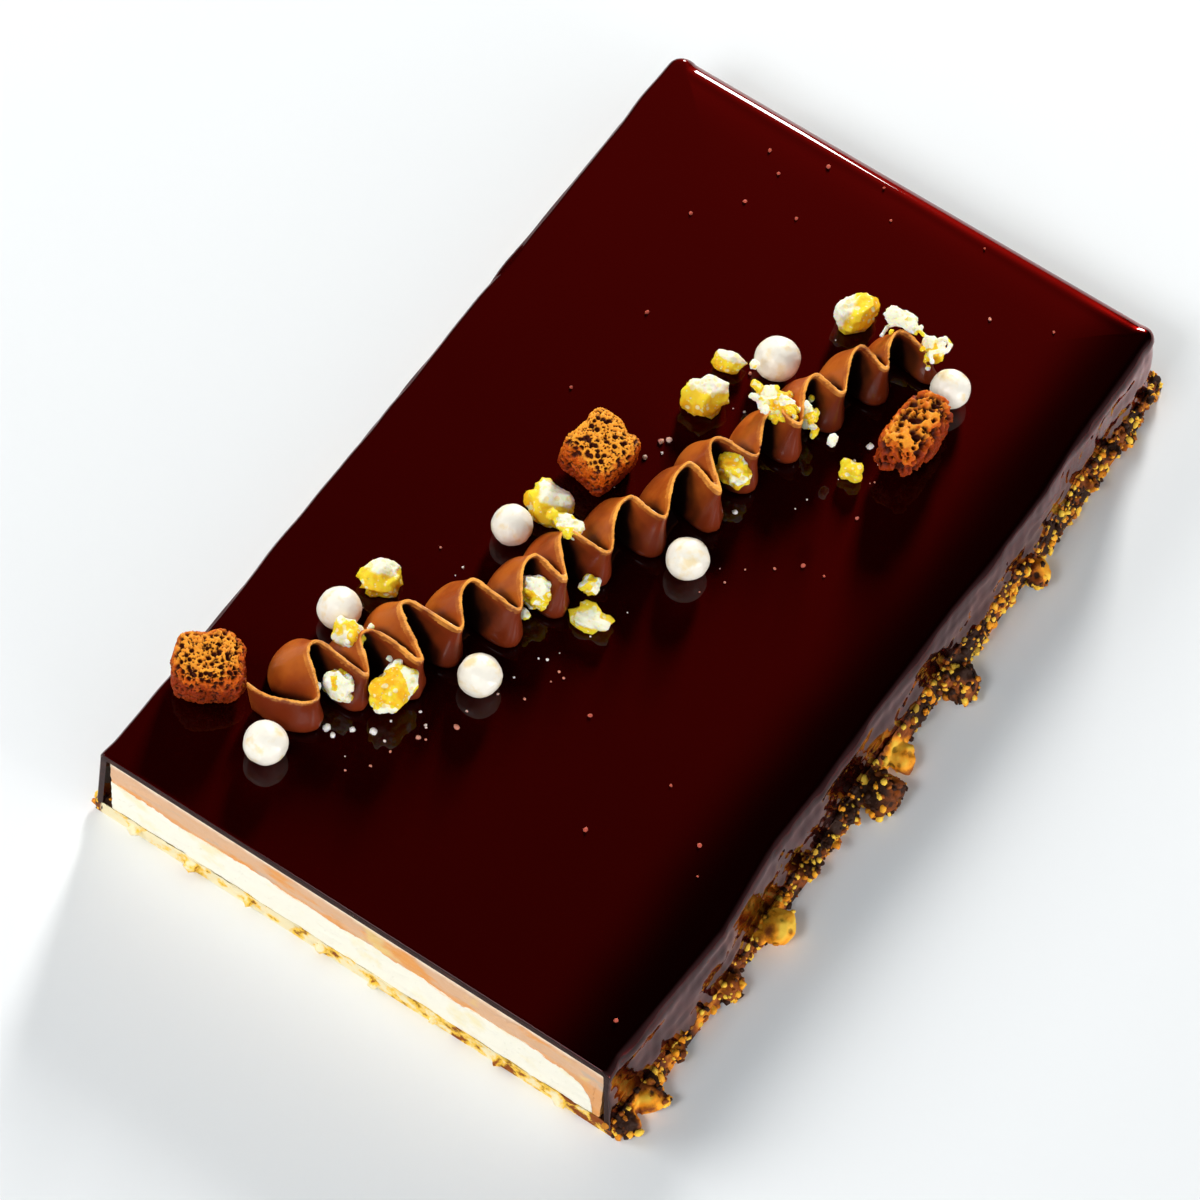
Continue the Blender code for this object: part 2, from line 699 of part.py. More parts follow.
def make_pearls(collection, obstacles):
    """Crisp sugar pearls, very slightly out of round."""
    finish = material("pearl_white", PEARL_WHITE)
    for i, (name, station, offset, diameter) in enumerate(PEARLS):
        bm = bmesh.new()
        bmesh.ops.create_uvsphere(bm, u_segments=12, v_segments=8, radius=diameter / 2)
        squash = 1 - PEARL_SQUASH * (1 + i % 3) / 2
        bmesh.ops.scale(bm, vec=(1.0, 1.0, squash), verts=bm.verts)
        pearl = object_from(bm, name, collection, finish, smooth=True)
        stand(pearl, on_cake(station, offset), obstacles, outward(offset))


def make_lumps(collection, obstacles, rows, finish, form):
    """Irregular lumps standing beside the ruffle."""
    for name, station, offset, size, turn, tilt, squareness, seed in rows:
        bm = rough_block(size, squareness, seed, *form)
        spin = Matrix.Rotation(math.radians(turn), 3, "Z")
        bmesh.ops.rotate(bm, verts=bm.verts, matrix=spin @ Matrix.Rotation(math.radians(tilt), 3, "Y"))
        lump = object_from(bm, name, collection, finish)
        stand(lump, on_cake(station, offset), obstacles, outward(offset))


def main():
    for old in list(bpy.data.objects):
        bpy.data.objects.remove(old, do_unlink=True)
    scene_root = bpy.context.scene.collection
    collection = new_collection(COLLECTION, scene_root)
    cutters = new_collection("cutters", scene_root)

    make_biscuit(collection, cutters)
    make_layers(collection)
    make_glaze(collection, cutters)
    ribbon = make_ribbon(collection)

    faces = [tuple(face.vertices) for face in ribbon.data.polygons]
    obstacles = [BVHTree.FromPolygons([vert.co for vert in ribbon.data.vertices], faces)]
    honeycomb = material("honeycomb_gold", HONEYCOMB_GOLD)
    make_lumps(collection, obstacles, HONEYCOMB, honeycomb, HONEYCOMB_FORM)
    make_pearls(collection, obstacles)
    nugget = material("nugget_yellow", NUGGET_YELLOW)
    make_lumps(collection, obstacles, NUGGETS, nugget, NUGGET_FORM)


main()
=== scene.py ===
"""Looks of the mini chocolate cake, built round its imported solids.

The frame is the solids' own: +X along the short side, +Y along the long side away from the cut
face, +Z up, with the origin under the middle of the slab. Lengths are in metres.
"""

import json
import logging
import math
import random
from collections.abc import Callable, Sequence
from dataclasses import dataclass, field
from enum import Enum
from typing import NamedTuple

import bmesh
import bpy
import numpy as np
from mathutils import Matrix, Vector, noise
from mathutils.bvhtree import BVHTree
from mathutils.kdtree import KDTree

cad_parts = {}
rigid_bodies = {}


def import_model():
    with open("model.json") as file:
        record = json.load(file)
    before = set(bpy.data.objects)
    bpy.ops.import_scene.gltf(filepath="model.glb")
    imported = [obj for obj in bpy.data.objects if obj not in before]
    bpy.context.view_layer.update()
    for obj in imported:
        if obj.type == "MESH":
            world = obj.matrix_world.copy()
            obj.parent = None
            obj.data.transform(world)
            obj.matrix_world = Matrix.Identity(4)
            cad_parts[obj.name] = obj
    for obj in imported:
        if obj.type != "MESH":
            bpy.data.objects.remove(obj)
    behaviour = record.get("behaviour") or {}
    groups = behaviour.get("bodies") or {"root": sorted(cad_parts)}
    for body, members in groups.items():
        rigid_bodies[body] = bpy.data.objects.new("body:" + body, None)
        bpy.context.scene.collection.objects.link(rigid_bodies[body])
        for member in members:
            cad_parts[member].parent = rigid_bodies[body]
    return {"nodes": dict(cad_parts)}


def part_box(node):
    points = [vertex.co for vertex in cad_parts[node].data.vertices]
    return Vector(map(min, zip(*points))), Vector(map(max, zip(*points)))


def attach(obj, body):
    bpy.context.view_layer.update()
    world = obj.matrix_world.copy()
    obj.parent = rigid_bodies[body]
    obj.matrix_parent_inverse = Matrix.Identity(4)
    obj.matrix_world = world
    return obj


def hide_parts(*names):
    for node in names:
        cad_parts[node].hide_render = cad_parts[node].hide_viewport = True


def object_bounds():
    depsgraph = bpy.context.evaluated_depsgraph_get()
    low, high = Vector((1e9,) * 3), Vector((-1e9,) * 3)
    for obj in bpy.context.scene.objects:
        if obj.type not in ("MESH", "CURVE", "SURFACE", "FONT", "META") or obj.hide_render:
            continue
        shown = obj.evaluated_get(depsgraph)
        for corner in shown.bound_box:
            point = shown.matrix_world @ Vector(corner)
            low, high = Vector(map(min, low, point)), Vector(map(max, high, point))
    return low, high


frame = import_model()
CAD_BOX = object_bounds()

LOG = logging.getLogger("mini_chocolate_cake")
MM = 0.001
BODY = "root"
HAIR = 0.00001
Colour = tuple[float, float, float]
Place = tuple[float, float, float]
Span = tuple[float, float]
Material = bpy.types.Material
Mesh = bpy.types.Mesh
Object = bpy.types.Object


# ---- Node trees --------------------------------------------------------------------------


def joined(operation: str, reflected: bool = False) -> Callable:
    """A method of Value that makes a Math node.

    Args:
        operation: the node's operation.
        reflected: whether the other value comes first.

    Returns:
        The method.
    """

    def method(value: "Value", other: "Value | float") -> "Value":
        """The node's result."""
        pair = (other, value) if reflected else (value, other)
        return value.maker.value("ShaderNodeMath", dict(enumerate(pair)), operation=operation)

    return method


class Value:
    """A node's output; one that is a number takes part in Python expressions."""

    def __init__(self, maker: "NodeMaker", socket: bpy.types.NodeSocket) -> None:
        """Keep the output and the maker of its tree's nodes."""
        self.maker = maker
        self.socket = socket

    __add__ = joined("ADD")
    __radd__ = joined("ADD", True)
    __sub__ = joined("SUBTRACT")
    __rsub__ = joined("SUBTRACT", True)
    __mul__ = joined("MULTIPLY")
    __rmul__ = joined("MULTIPLY", True)
    __truediv__ = joined("DIVIDE")
    __rtruediv__ = joined("DIVIDE", True)
    larger = joined("MAXIMUM")

    def step(self, low: "Value | float", high: "Value | float") -> "Value":
        """Smooth rise from 0 at low to 1 at high; low may be the larger one."""
        span = {"Value": self, "From Min": low, "From Max": high}
        return self.maker.value("ShaderNodeMapRange", span, interpolation_type="SMOOTHSTEP")


class NodeMaker:
    """Makes the nodes of one tree."""

    def __init__(self, tree: bpy.types.NodeTree) -> None:
        """Keep the tree, emptied."""
        self.tree = tree
        tree.nodes.clear()

    @staticmethod
    def find(sockets: Sequence[bpy.types.NodeSocket], key: str | int) -> bpy.types.NodeSocket:
        """The socket with an index, or else with an identifier or a name."""
        if isinstance(key, int):
            return sockets[key]
        named = [socket for socket in sockets if socket.identifier == key]
        return named[0] if named else sockets[key]

    def value(
        self, kind: str, values: dict | None = None, output: str | int = 0, **settings: str
    ) -> Value | None:
        """Make a node and give one of its outputs.

        Args:
            kind: the node's type.
            values: numbers, colours or links of its inputs, by index, identifier or name.
            output: index, identifier or name of the output.
            settings: the node's properties, which are set first.

        Returns:
            The output, or None where the node has none.
        """
        made = self.tree.nodes.new(kind)
        for key, value in settings.items():
            setattr(made, key, value)
        for key, value in (values or {}).items():
            socket = self.find(made.inputs, key)
            if isinstance(value, Value):
                self.tree.links.new(value.socket, socket)
            else:
                socket.default_value = value
        return Value(self, self.find(made.outputs, output)) if made.outputs else None


class Finish(NodeMaker):
    """The node tree of one material."""

    def __init__(self, name: str) -> None:
        """Start a material of this name."""
        self.material = bpy.data.materials.new(name)
        self.material.use_nodes = True
        super().__init__(self.material.node_tree)
        self.place = self.value("ShaderNodeTexCoord", output="Object")

    def mottle(
        self, size: float, detail: float = 3.0, rough: float = 0.55, where: Value | None = None
    ) -> Value:
        """Soft noise.

        Args:
            size: size of its patches, in metres.
            detail: octaves.
            rough: weight of the finer octaves.
            where: coordinates, or the object's own.

        Returns:
            A value about 0.5, from 0 to 1.
        """
        place = {"Vector": where or self.place, "Scale": 1 / size}
        return self.value("ShaderNodeTexNoise", {**place, "Detail": detail, "Roughness": rough})

    def cells(self, size: float) -> Value:
        """Distance to the nearest of scattered points, in cells of a size in metres."""
        return self.value("ShaderNodeTexVoronoi", {"Vector": self.place, "Scale": 1 / size})

    def along(self, axis: str) -> Value:
        """A place's coordinate on an axis, in metres."""
        return self.value("ShaderNodeSeparateXYZ", {"Vector": self.place}, axis)

    def read(self, name: str) -> Value:
        """A number that the mesh carries at its points."""
        return self.value("ShaderNodeAttribute", None, "Fac", attribute_name=name)

    def blend(self, body: Value | Colour, *layers: tuple[Value, Value | Colour]) -> Value:
        """A colour with others laid over it.

        Args:
            body: the first colour.
            layers: share and colour of each other one, in turn.

        Returns:
            The result.
        """
        for share, over in layers:
            values = {"Factor_Float": share}
            for key, colour in (("A_Color", body), ("B_Color", over)):
                values[key] = colour if isinstance(colour, Value) else (*colour, 1.0)
            body = self.value("ShaderNodeMix", values, "Result_Color", data_type="RGBA")
        return body

    def relief(self, height: Value, depth: float) -> Value:
        """Normal of a relief of about 0 to 1, of a depth in metres."""
        return self.value("ShaderNodeBump", {"Height": height, "Strength": 1.0, "Distance": depth})

    def done(self, body: Value, rough: Value | float, others: dict) -> Material:
        """Join a Principled shader to the output.

        Args:
            body: its base colour.
            rough: its roughness.
            others: its other inputs.

        Returns:
            The material.
        """
        values = {"Base Color": body, "Roughness": rough, **others}
        shader = self.value("ShaderNodeBsdfPrincipled", values)
        self.value("ShaderNodeOutputMaterial", {"Surface": shader})
        return self.material


# ---- Finishes ----------------------------------------------------------------------------


@dataclass(frozen=True)
class GlazeFinish:
    """Dark chocolate mirror glaze: a deep red glow under a clear gloss."""

    name: str = "dark_mirror_glaze"
    level: float = 0.40
    colour: Colour = (0.0012, 0.0001, 0.0001)
    deep: Colour = (0.0007, 0.0001, 0.0001)
    glow: Colour = (1.0, 0.018, 0.012)
    coat: Colour = (1.0, 0.07, 0.05)
    patch: float = 0.045
    smear: float = 0.030
    edge: Span = (0.026, 0.039)
    edge_sway: float = 0.006

    def make(self) -> Material:
        """The material, glossier towards the slab's right edge."""
        finish = Finish(self.name)
        smear = finish.mottle(self.smear, 2.0)
        edge = (finish.along("X") + self.edge_sway * (smear - 0.5)).step(*self.edge)
        cloud = finish.mottle(self.patch, 2.0).step(0.35, 0.65)
        others = {
            "Specular IOR Level": self.level,
            "Specular Tint": (*self.glow, 1.0),
            "Coat Weight": 1.0,
            "Coat Roughness": 0.03,
            "Coat IOR": 1.31,
            "Coat Tint": (*self.coat, 1.0),
        }
        body = finish.blend(self.colour, (cloud, self.deep))
        return finish.done(body, 0.48 + 0.08 * smear - 0.30 * edge, others)


@dataclass(frozen=True)
class SatinFinish:
    """A satin surface: patches of a shade, uneven gloss, and fine bubbles or grain."""

    name: str
    colour: Colour
    shade: Colour
    patch: float
    span: Span
    least_rough: float
    rough_swing: float
    rough_patch: float
    grain: float
    depth: float
    grain_weight: float = 1.0
    detail: float = 3.0
    bubble: float = 0.0
    bubble_wall: Span = (0.0, 1.0)
    others: dict[str, float] = field(default_factory=dict)

    def body(self, finish: Finish) -> Value:
        """The colour."""
        share = finish.mottle(self.patch, self.detail).step(*self.span)
        return finish.blend(self.colour, (share, self.shade))

    def make(self) -> Material:
        """The material."""
        finish = Finish(self.name)
        height = self.grain_weight * finish.mottle(self.grain)
        if self.bubble:
            height = finish.cells(self.bubble).step(*self.bubble_wall) + height
        rough = self.least_rough + self.rough_swing * finish.mottle(self.rough_patch)
        others = {"Normal": finish.relief(height, self.depth), **self.others}
        return finish.done(self.body(finish), rough, others)


@dataclass(frozen=True)
class MousseFinish(SatinFinish):
    """Milk chocolate mousse on its cut face, streaked, and paler along its top."""

    grey: Colour = (0.58, 0.42, 0.31)
    yellow: Colour = (0.86, 0.56, 0.18)
    pale: Colour = (0.92, 0.74, 0.54)
    pale_edge: Span = (0.0146, 0.0160)
    foot: Span = (0.0116, 0.0108)
    drawn: Place = (0.45, 1.0, 1.0)
    slant: Place = (0.0, 0.25, 0.0)

    def body(self, finish: Finish) -> Value:
        """The colour."""
        drawn = {"Vector": finish.place, "Scale": self.drawn, "Rotation": self.slant}
        streak = finish.value("ShaderNodeMapping", drawn)
        low = finish.along("Z") + 0.0006 * (finish.mottle(0.0015) - 0.5)
        top = finish.along("Z") + 0.0012 * (finish.mottle(0.004) - 0.5)
        return finish.blend(
            self.colour,
            (finish.mottle(self.patch, self.detail, 0.6, streak).step(*self.span), self.shade),
            (finish.mottle(0.0042, self.detail, 0.6, streak).step(0.42, 0.30), self.grey),
            (finish.mottle(0.0075).step(0.58, 0.70), self.yellow),
            (0.6 * low.step(*self.foot), self.shade),
            (top.step(*self.pale_edge), self.pale),
        )


@dataclass(frozen=True)
class BiscuitFinish:
    """Baked biscuit crumb, pale where it is cut, with painted shade in its hollows."""

    dark: Colour = (0.030, 0.008, 0.002)
    brown: Colour = (0.28, 0.062, 0.005)
    gold: Colour = (0.98, 0.35, 0.010)
    light: Colour = (1.0, 0.62, 0.060)
    pale: Colour = (0.93, 0.80, 0.50)

    def make(self) -> Material:
        """The material."""
        finish = Finish("biscuit_crumb")
        tone = finish.read("tone") + 0.35 * (finish.mottle(0.0009, 4.0, 0.6) - 0.5)
        browned = finish.mottle(0.0030, 4.0, 0.6) + 0.16 * finish.along("X").step(-0.030, 0.040)
        browned = browned - 0.10
        cut = finish.blend(
            self.pale,
            (browned.step(0.42, 0.54), self.light),
            (browned.step(0.52, 0.62), self.brown),
        )
        body = finish.blend(
            self.dark,
            (tone.step(0.16, 0.40), self.brown),
            (tone.step(0.36, 0.60), self.gold),
            (tone.step(0.52, 0.88), self.light),
            # painted shade in the pits
            (finish.read("pit").step(0.25, 0.8), self.dark),
            (finish.read("cut"), cut),
        )
        grain = finish.relief(finish.mottle(0.0005, 4.0, 0.7), 0.00010)
        others = {"Specular IOR Level": 0.22, "Normal": grain}
        return finish.done(body, 0.55 + 0.25 * finish.mottle(0.001), others)


@dataclass(frozen=True)
class GanacheFinish:
    """Piped milk chocolate ganache, with a painted highlight along its thin lip, painted shade on
    its near side and painted shade in its folds.
    """

    colour: Colour = (0.500, 0.118, 0.012)
    cool: Colour = (0.370, 0.068, 0.008)
    # Painted shade on the faces turned to the near side, away from the back light.
    near: Colour = (0.165, 0.021, 0.004)
    # Painted highlight along the thin crest, where light shows through it.
    lip: Colour = (1.0, 0.42, 0.070)
    # Painted shade in the ruffle's folds, where its own turns block the light.
    shade: Colour = (0.008, 0.002, 0.001)

    def make(self) -> Material:
        """The material."""
        finish = Finish("piped_ganache")
        near = finish.read("near")
        fold = finish.read("fold") + 0.12 * (finish.mottle(0.0030) - 0.5)
        edge = finish.read("lip") * (0.1 + 1.5 * finish.mottle(0.0026))
        body = finish.blend(
            self.colour,
            (finish.mottle(0.006).step(0.40, 0.62), self.cool),
            # painted shade on the near side
            (near.step(0.30, 0.72), self.near),
            # painted shade in the folds
            (fold.step(0.27, 0.54), self.shade),
            # painted highlight along the lip
            (edge.step(0.35, 1.00), self.lip),
        )
        others = {
            "Specular IOR Level": 0.12,
            "Coat Weight": 0.14 + 0.44 * near.step(0.50, 0.90),
            "Coat Roughness": 0.13,
            "Subsurface Weight": 0.10,
            "Subsurface Radius": (0.0012, 0.0004, 0.0002),
            "Subsurface Scale": 1.0,
            "Normal": finish.relief(finish.mottle(0.0007), 0.00004),
        }
        return finish.done(body, 0.30 + 0.16 * finish.mottle(0.0015, 4.0), others)


@dataclass(frozen=True)
class SugarFinish:
    """Boiled sugar foam, from its low parts over its body to its crown, with its pores. Where the
    crown follows the light, its lighter colours are painted light and its low colour painted shade;
    a dark pore colour is painted shade in the pits.
    """

    name: str
    low: Colour
    body: Colour
    top: Colour
    # Colour of the pits: the honeycomb's near-black one is painted shade.
    pore: Colour
    body_from: Span = (0.15, 0.50)
    top_from: Span = (0.55, 0.80)
    patch: float = 0.0022
    blotch: float = 0.6
    # Weight of the painted light that makes upward faces lighter.
    facing: float = 0.0
    glow: float = 0.15

    def make(self) -> Material:
        """The material."""
        finish = Finish(self.name)
        crown = finish.read("crown") + self.blotch * (finish.mottle(self.patch, 4.0, 0.6) - 0.5)
        # Upward faces lighter: painted light.
        crown = crown + self.facing * (finish.read("upward") - 0.5)
        body = finish.blend(
            self.low,
            (crown.step(*self.body_from), self.body),
            (crown.step(*self.top_from), self.top),
            # the pits: painted shade where the pore colour is dark
            (finish.read("pit").step(0.15, 0.70), self.pore),
        )
        others = {
            "Specular IOR Level": 0.14,
            "Subsurface Weight": self.glow,
            "Subsurface Radius": (0.0018, 0.0011, 0.0003),
            "Subsurface Scale": 1.0,
            "Normal": finish.relief(finish.mottle(0.0004, 4.0, 0.7), 0.00006),
        }
        return finish.done(body, 0.38 + 0.3 * finish.mottle(0.0008), others)


@dataclass(frozen=True)
class TableFinish:
    """White table top."""

    colour: Colour = (0.86, 0.875, 0.88)
    shade: Colour = (0.845, 0.865, 0.872)
    patch: float = 0.35

    def make(self) -> Material:
        """The material."""
        finish = Finish("white_table")
        body = finish.blend(self.colour, (finish.mottle(self.patch, 2.0), self.shade))
        return finish.done(body, 0.55, {"Specular IOR Level": 0.2})


CUT_GLAZE_FINISH = SatinFinish(
    name="cut_glaze",
    colour=(0.022, 0.004, 0.003),
    shade=(0.060, 0.018, 0.010),
    patch=0.0016,
    span=(0.50, 0.75),
    least_rough=0.45,
    rough_swing=0.2,
    rough_patch=0.0008,
    grain=0.0016,
    depth=0.00005,
    others={"Specular IOR Level": 0.15},
)
MOUSSE_FINISH = MousseFinish(
    name="milk_mousse",
    colour=(0.76, 0.43, 0.23),
    shade=(0.84, 0.33, 0.060),
    patch=0.0050,
    span=(0.50, 0.62),
    detail=4.0,
    least_rough=0.42,
    rough_swing=0.15,
    rough_patch=0.002,
    grain=0.0006,
    grain_weight=0.8,
    depth=0.00005,
    bubble=0.0007,
    bubble_wall=(0.10, 0.30),
)
CREAM_FINISH = SatinFinish(
    name="vanilla_cream",
    colour=(0.98, 0.93, 0.78),
    shade=(0.97, 0.86, 0.54),
    patch=0.006,
    span=(0.52, 0.72),
    detail=4.0,
    least_rough=0.45,
    rough_swing=0.12,
    rough_patch=0.003,
    grain=0.0008,
    grain_weight=0.6,
    depth=0.00006,
    bubble=0.0009,
    bubble_wall=(0.08, 0.26),
)
PEARL_FINISH = SatinFinish(
    name="sugar_pearl",
    colour=(0.97, 0.91, 0.78),
    shade=(0.92, 0.74, 0.42),
    patch=0.0022,
    span=(0.48, 0.72),
    least_rough=0.34,
    rough_swing=0.2,
    rough_patch=0.0012,
    grain=0.0009,
    depth=0.00007,
    others={"Coat Weight": 0.3, "Coat Roughness": 0.25},
)
# Honeycomb: the low colour on its lower parts is painted shade, the top colour and the lighter
# upward faces are painted light, and the near-black pores are painted shade.
HONEYCOMB_FINISH = SugarFinish(
    name="caramel_honeycomb",
    low=(0.28, 0.028, 0.002),
    body=(0.62, 0.105, 0.004),
    top=(0.96, 0.36, 0.028),
    pore=(0.060, 0.006, 0.001),
    body_from=(0.25, 0.55),
    top_from=(0.66, 1.08),
    patch=0.0014,
    blotch=1.0,
    facing=0.5,
)
# Nuggets: the white on the side towards the back light is partly the sugar's own white and partly
# painted light; the flakes' white is their own.
NUGGET_FINISH = SugarFinish(
    name="golden_nugget",
    low=(0.95, 0.48, 0.010),
    body=(1.0, 0.68, 0.030),
    top=(0.98, 0.92, 0.72),
    pore=(0.98, 0.84, 0.46),
    body_from=(0.20, 0.58),
    top_from=(0.69, 0.79),
    patch=0.0016,
    blotch=0.22,
    glow=0.7,
)
SPECK_FINISH = SugarFinish(
    name="sugar_speck",
    low=(0.50, 0.09, 0.06),
    body=(0.72, 0.26, 0.18),
    top=(0.95, 0.88, 0.80),
    pore=(0.5, 0.2, 0.1),
    top_from=(0.60, 0.75),
    patch=0.0010,
    blotch=0.2,
)


# ---- Meshes and pieces -------------------------------------------------------------------


class Slot(Enum):
    """The record's material slots."""

    GLAZE = "glaze"
    MOUSSE = "mousse"
    CREAM = "cream"
    BISCUIT = "biscuit"
    GANACHE = "ganache"
    PEARL = "pearl"
    HONEYCOMB = "honeycomb"
    NUGGET = "nugget"


def object_of(name: str, mesh: Mesh) -> Object:
    """A new object of the scene with this mesh."""
    made = bpy.data.objects.new(name, mesh)
    bpy.context.scene.collection.objects.link(made)
    return made


def mesh_from(name: str, bm: bmesh.types.BMesh) -> Mesh:
    """The mesh of a bmesh, which is freed, shaded smooth."""
    mesh = bpy.data.meshes.new(name)
    bm.to_mesh(mesh)
    bm.free()
    mesh.shade_smooth()
    return mesh


def mesh_of(name: str, points: np.ndarray, faces: Sequence[Sequence[int]]) -> Mesh:
    """A mesh with its doubles merged and its faces pointing out.

    Args:
        name: the mesh's name.
        points: one row per point.
        faces: point numbers of each face.

    Returns:
        The mesh, shaded smooth.
    """
    raw = bpy.data.meshes.new(name)
    raw.from_pydata(np.asarray(points, float).tolist(), [], [list(face) for face in faces])
    bm = bmesh.new()
    bm.from_mesh(raw)
    bpy.data.meshes.remove(raw)
    bmesh.ops.remove_doubles(bm, verts=bm.verts, dist=1e-7)
    bmesh.ops.recalc_face_normals(bm, faces=bm.faces)
    if bm.calc_volume(signed=True) < 0:
        bmesh.ops.reverse_faces(bm, faces=bm.faces)
    return mesh_from(name, bm)


def shell_faces(count: int, width: int, rims: Sequence[int]) -> list[tuple[int, ...]]:
    """Faces of two like sheets of points, joined along the ends of their rows.

    Args:
        count: rows of a sheet.
        width: points of a row.
        rims: rows along which the sheets are joined as well.

    Returns:
        Point numbers of each face, with the second sheet's points after the first's.
    """
    size = count * width
    faces = []
    for row in range(0, (count - 1) * width, width):
        for a in range(row, row + width - 1):
            b = a + width
            faces.append((a, a + 1, b + 1, b))
            faces.append((size + a, size + b, size + b + 1, size + a + 1))
        for a in (row, row + width - 1):
            faces.append((a, a + width, size + a + width, size + a))
    for row in rims:
        for a in range(row * width, (row + 1) * width - 1):
            faces.append((a, a + 1, size + a + 1, size + a))
    return faces


def copy_of(node: str) -> bmesh.types.BMesh:
    """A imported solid's mesh with its doubles merged."""
    bm = bmesh.new()
    bm.from_mesh(frame["nodes"][node].data)
    bmesh.ops.remove_doubles(bm, verts=bm.verts, dist=1e-6)
    return bm


def settle(made: Object) -> None:
    """Put the evaluated mesh in place of the object's own, and drop its modifiers."""
    bpy.context.view_layer.update()
    evaluated = made.evaluated_get(bpy.context.evaluated_depsgraph_get())
    mesh = bpy.data.meshes.new_from_object(evaluated)
    made.modifiers.clear()
    made.data = mesh


def one_skin(name: str, mesh: Mesh, voxel: float, smoothings: int = 0) -> Object:
    """A new object with a mesh remade as one even skin.

    Args:
        name: the object's name.
        mesh: the mesh.
        voxel: size of the skin's faces.
        smoothings: rounds of smoothing.

    Returns:
        The object.
    """
    made = object_of(name, mesh)
    remesh = made.modifiers.new("one_skin", "REMESH")
    remesh.mode = "VOXEL"
    remesh.voxel_size = voxel
    if smoothings:
        made.modifiers.new("soften", "SMOOTH").iterations = smoothings
    settle(made)
    made.data.shade_smooth()
    return made


def join_piece(made: Object, finish: Material, slot: Slot, *nodes: str) -> None:
    """Dress a finished piece and tie it to the frame.

    Args:
        made: the piece, with its place in its mesh.
        finish: its material.
        slot: the record's slot for it; not used.
        nodes: the solids that it stands for.
    """
    made.data.materials.clear()
    made.data.materials.append(finish)
    for polygon in made.data.polygons:
        polygon.material_index = 0
    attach(made, BODY)
    if nodes:
        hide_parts(*nodes)
    LOG.info("%s: %d faces", made.name, len(made.data.polygons))


def carry(mesh: Mesh, name: str, values: Sequence[float]) -> None:
    """Give a mesh a number at each point, which its material or form tree reads."""
    attribute = mesh.attributes.new(name, "FLOAT", "POINT")
    attribute.data.foreach_set("value", np.asarray(values, np.float32))


def points_of(mesh: Mesh) -> np.ndarray:
    """The mesh's points, one row each."""
    found = np.empty(len(mesh.vertices) * 3, np.float32)
    mesh.vertices.foreach_get("co", found)
    return found.reshape(-1, 3).astype(float)


def move_points(mesh: Mesh, points: np.ndarray) -> None:
    """Put the mesh's points at other places."""
    mesh.vertices.foreach_set("co", points.astype(np.float32).ravel())
    mesh.update()


def eased(share: float) -> float:
    """Smooth step from 0 to 1."""
    share = min(max(share, 0.0), 1.0)
    return share * share * (3 - 2 * share)


def scattered(*parts: float) -> float:
    """Noise at a place."""
    return noise.noise(Vector(parts))


def dented(way: Vector, shift: Vector, dents: Sequence[Span]) -> float:
    """Sum of noises on a ball, each with its depth and fineness."""
    return sum(depth * noise.noise(way * fine + shift) for depth, fine in dents)


# ---- Geometry node trees -----------------------------------------------------------------


class FormTree(NodeMaker):
    """A Geometry Nodes tree with named inputs."""

    inputs: dict[str, str] = {}

    def __init__(self, name: str) -> None:
        """Start the tree with its inputs and its one output."""
        super().__init__(bpy.data.node_groups.new(name, "GeometryNodeTree"))
        self.keys = {}
        kinds = {"Geometry": "Geometry", **self.inputs, "Material": "Material"}
        for label, kind in kinds.items():
            kind = f"NodeSocket{kind}"
            made = self.tree.interface.new_socket(label, in_out="INPUT", socket_type=kind)
            self.keys[label] = made.identifier
        self.tree.interface.new_socket(
            "Geometry", in_out="OUTPUT", socket_type="NodeSocketGeometry"
        )
        self.start = self.tree.nodes.new("NodeGroupInput")
        self.grow()

    def given(self, label: str) -> Value:
        """One of the tree's inputs."""
        return Value(self, self.start.outputs[label])

    def named(self, name: str) -> Value:
        """A number that the mesh carries at its points."""
        kind = "GeometryNodeInputNamedAttribute"
        return self.value(kind, {"Name": name}, "Attribute", data_type="FLOAT")

    def chance(self, seed: Value | float) -> Value:
        """A number from 0 to 1 for each point."""
        return self.value("FunctionNodeRandomValue", {"Seed": seed}, 1, data_type="FLOAT")

    def grow(self) -> None:
        """Make the tree's nodes."""
        raise NotImplementedError

    def close(self, geometry: Value) -> None:
        """End the tree with real faces and their material."""
        real = self.value("GeometryNodeRealizeInstances", {"Geometry": geometry})
        values = {"Geometry": real, "Material": self.given("Material")}
        dressed = self.value("GeometryNodeSetMaterial", values)
        self.value("NodeGroupOutput", {"Geometry": dressed})

    def keep(self, geometry: Value, name: str, value: Value, domain: str = "POINT") -> Value:
        """Store a number on the geometry for its material.

        Args:
            geometry: the geometry.
            name: the number's name.
            value: the number.
            domain: what has one number each.

        Returns:
            The geometry with the number.
        """
        values = {"Geometry": geometry, "Name": name, "Value": value}
        kind = "GeometryNodeStoreNamedAttribute"
        return self.value(kind, values, data_type="FLOAT", domain=domain)

    def apply(self, made: Object, values: dict[str, object]) -> None:
        """Run the tree on an object and keep the result as a plain mesh.

        Args:
            made: the object.
            values: the tree's inputs by name.
        """
        modifier = made.modifiers.new(self.tree.name, "NODES")
        modifier.node_group = self.tree
        for label, value in values.items():
            modifier[self.keys[label]] = value
        settle(made)


class Foam(NamedTuple):
    """A foam's roughness: lengths in metres, and its pores' width as a share of their spacing."""

    lump_size: float
    lump_height: float
    pore_spacing: float
    pore_depth: float
    pore_width: float
    fine_height: float
    seed: float


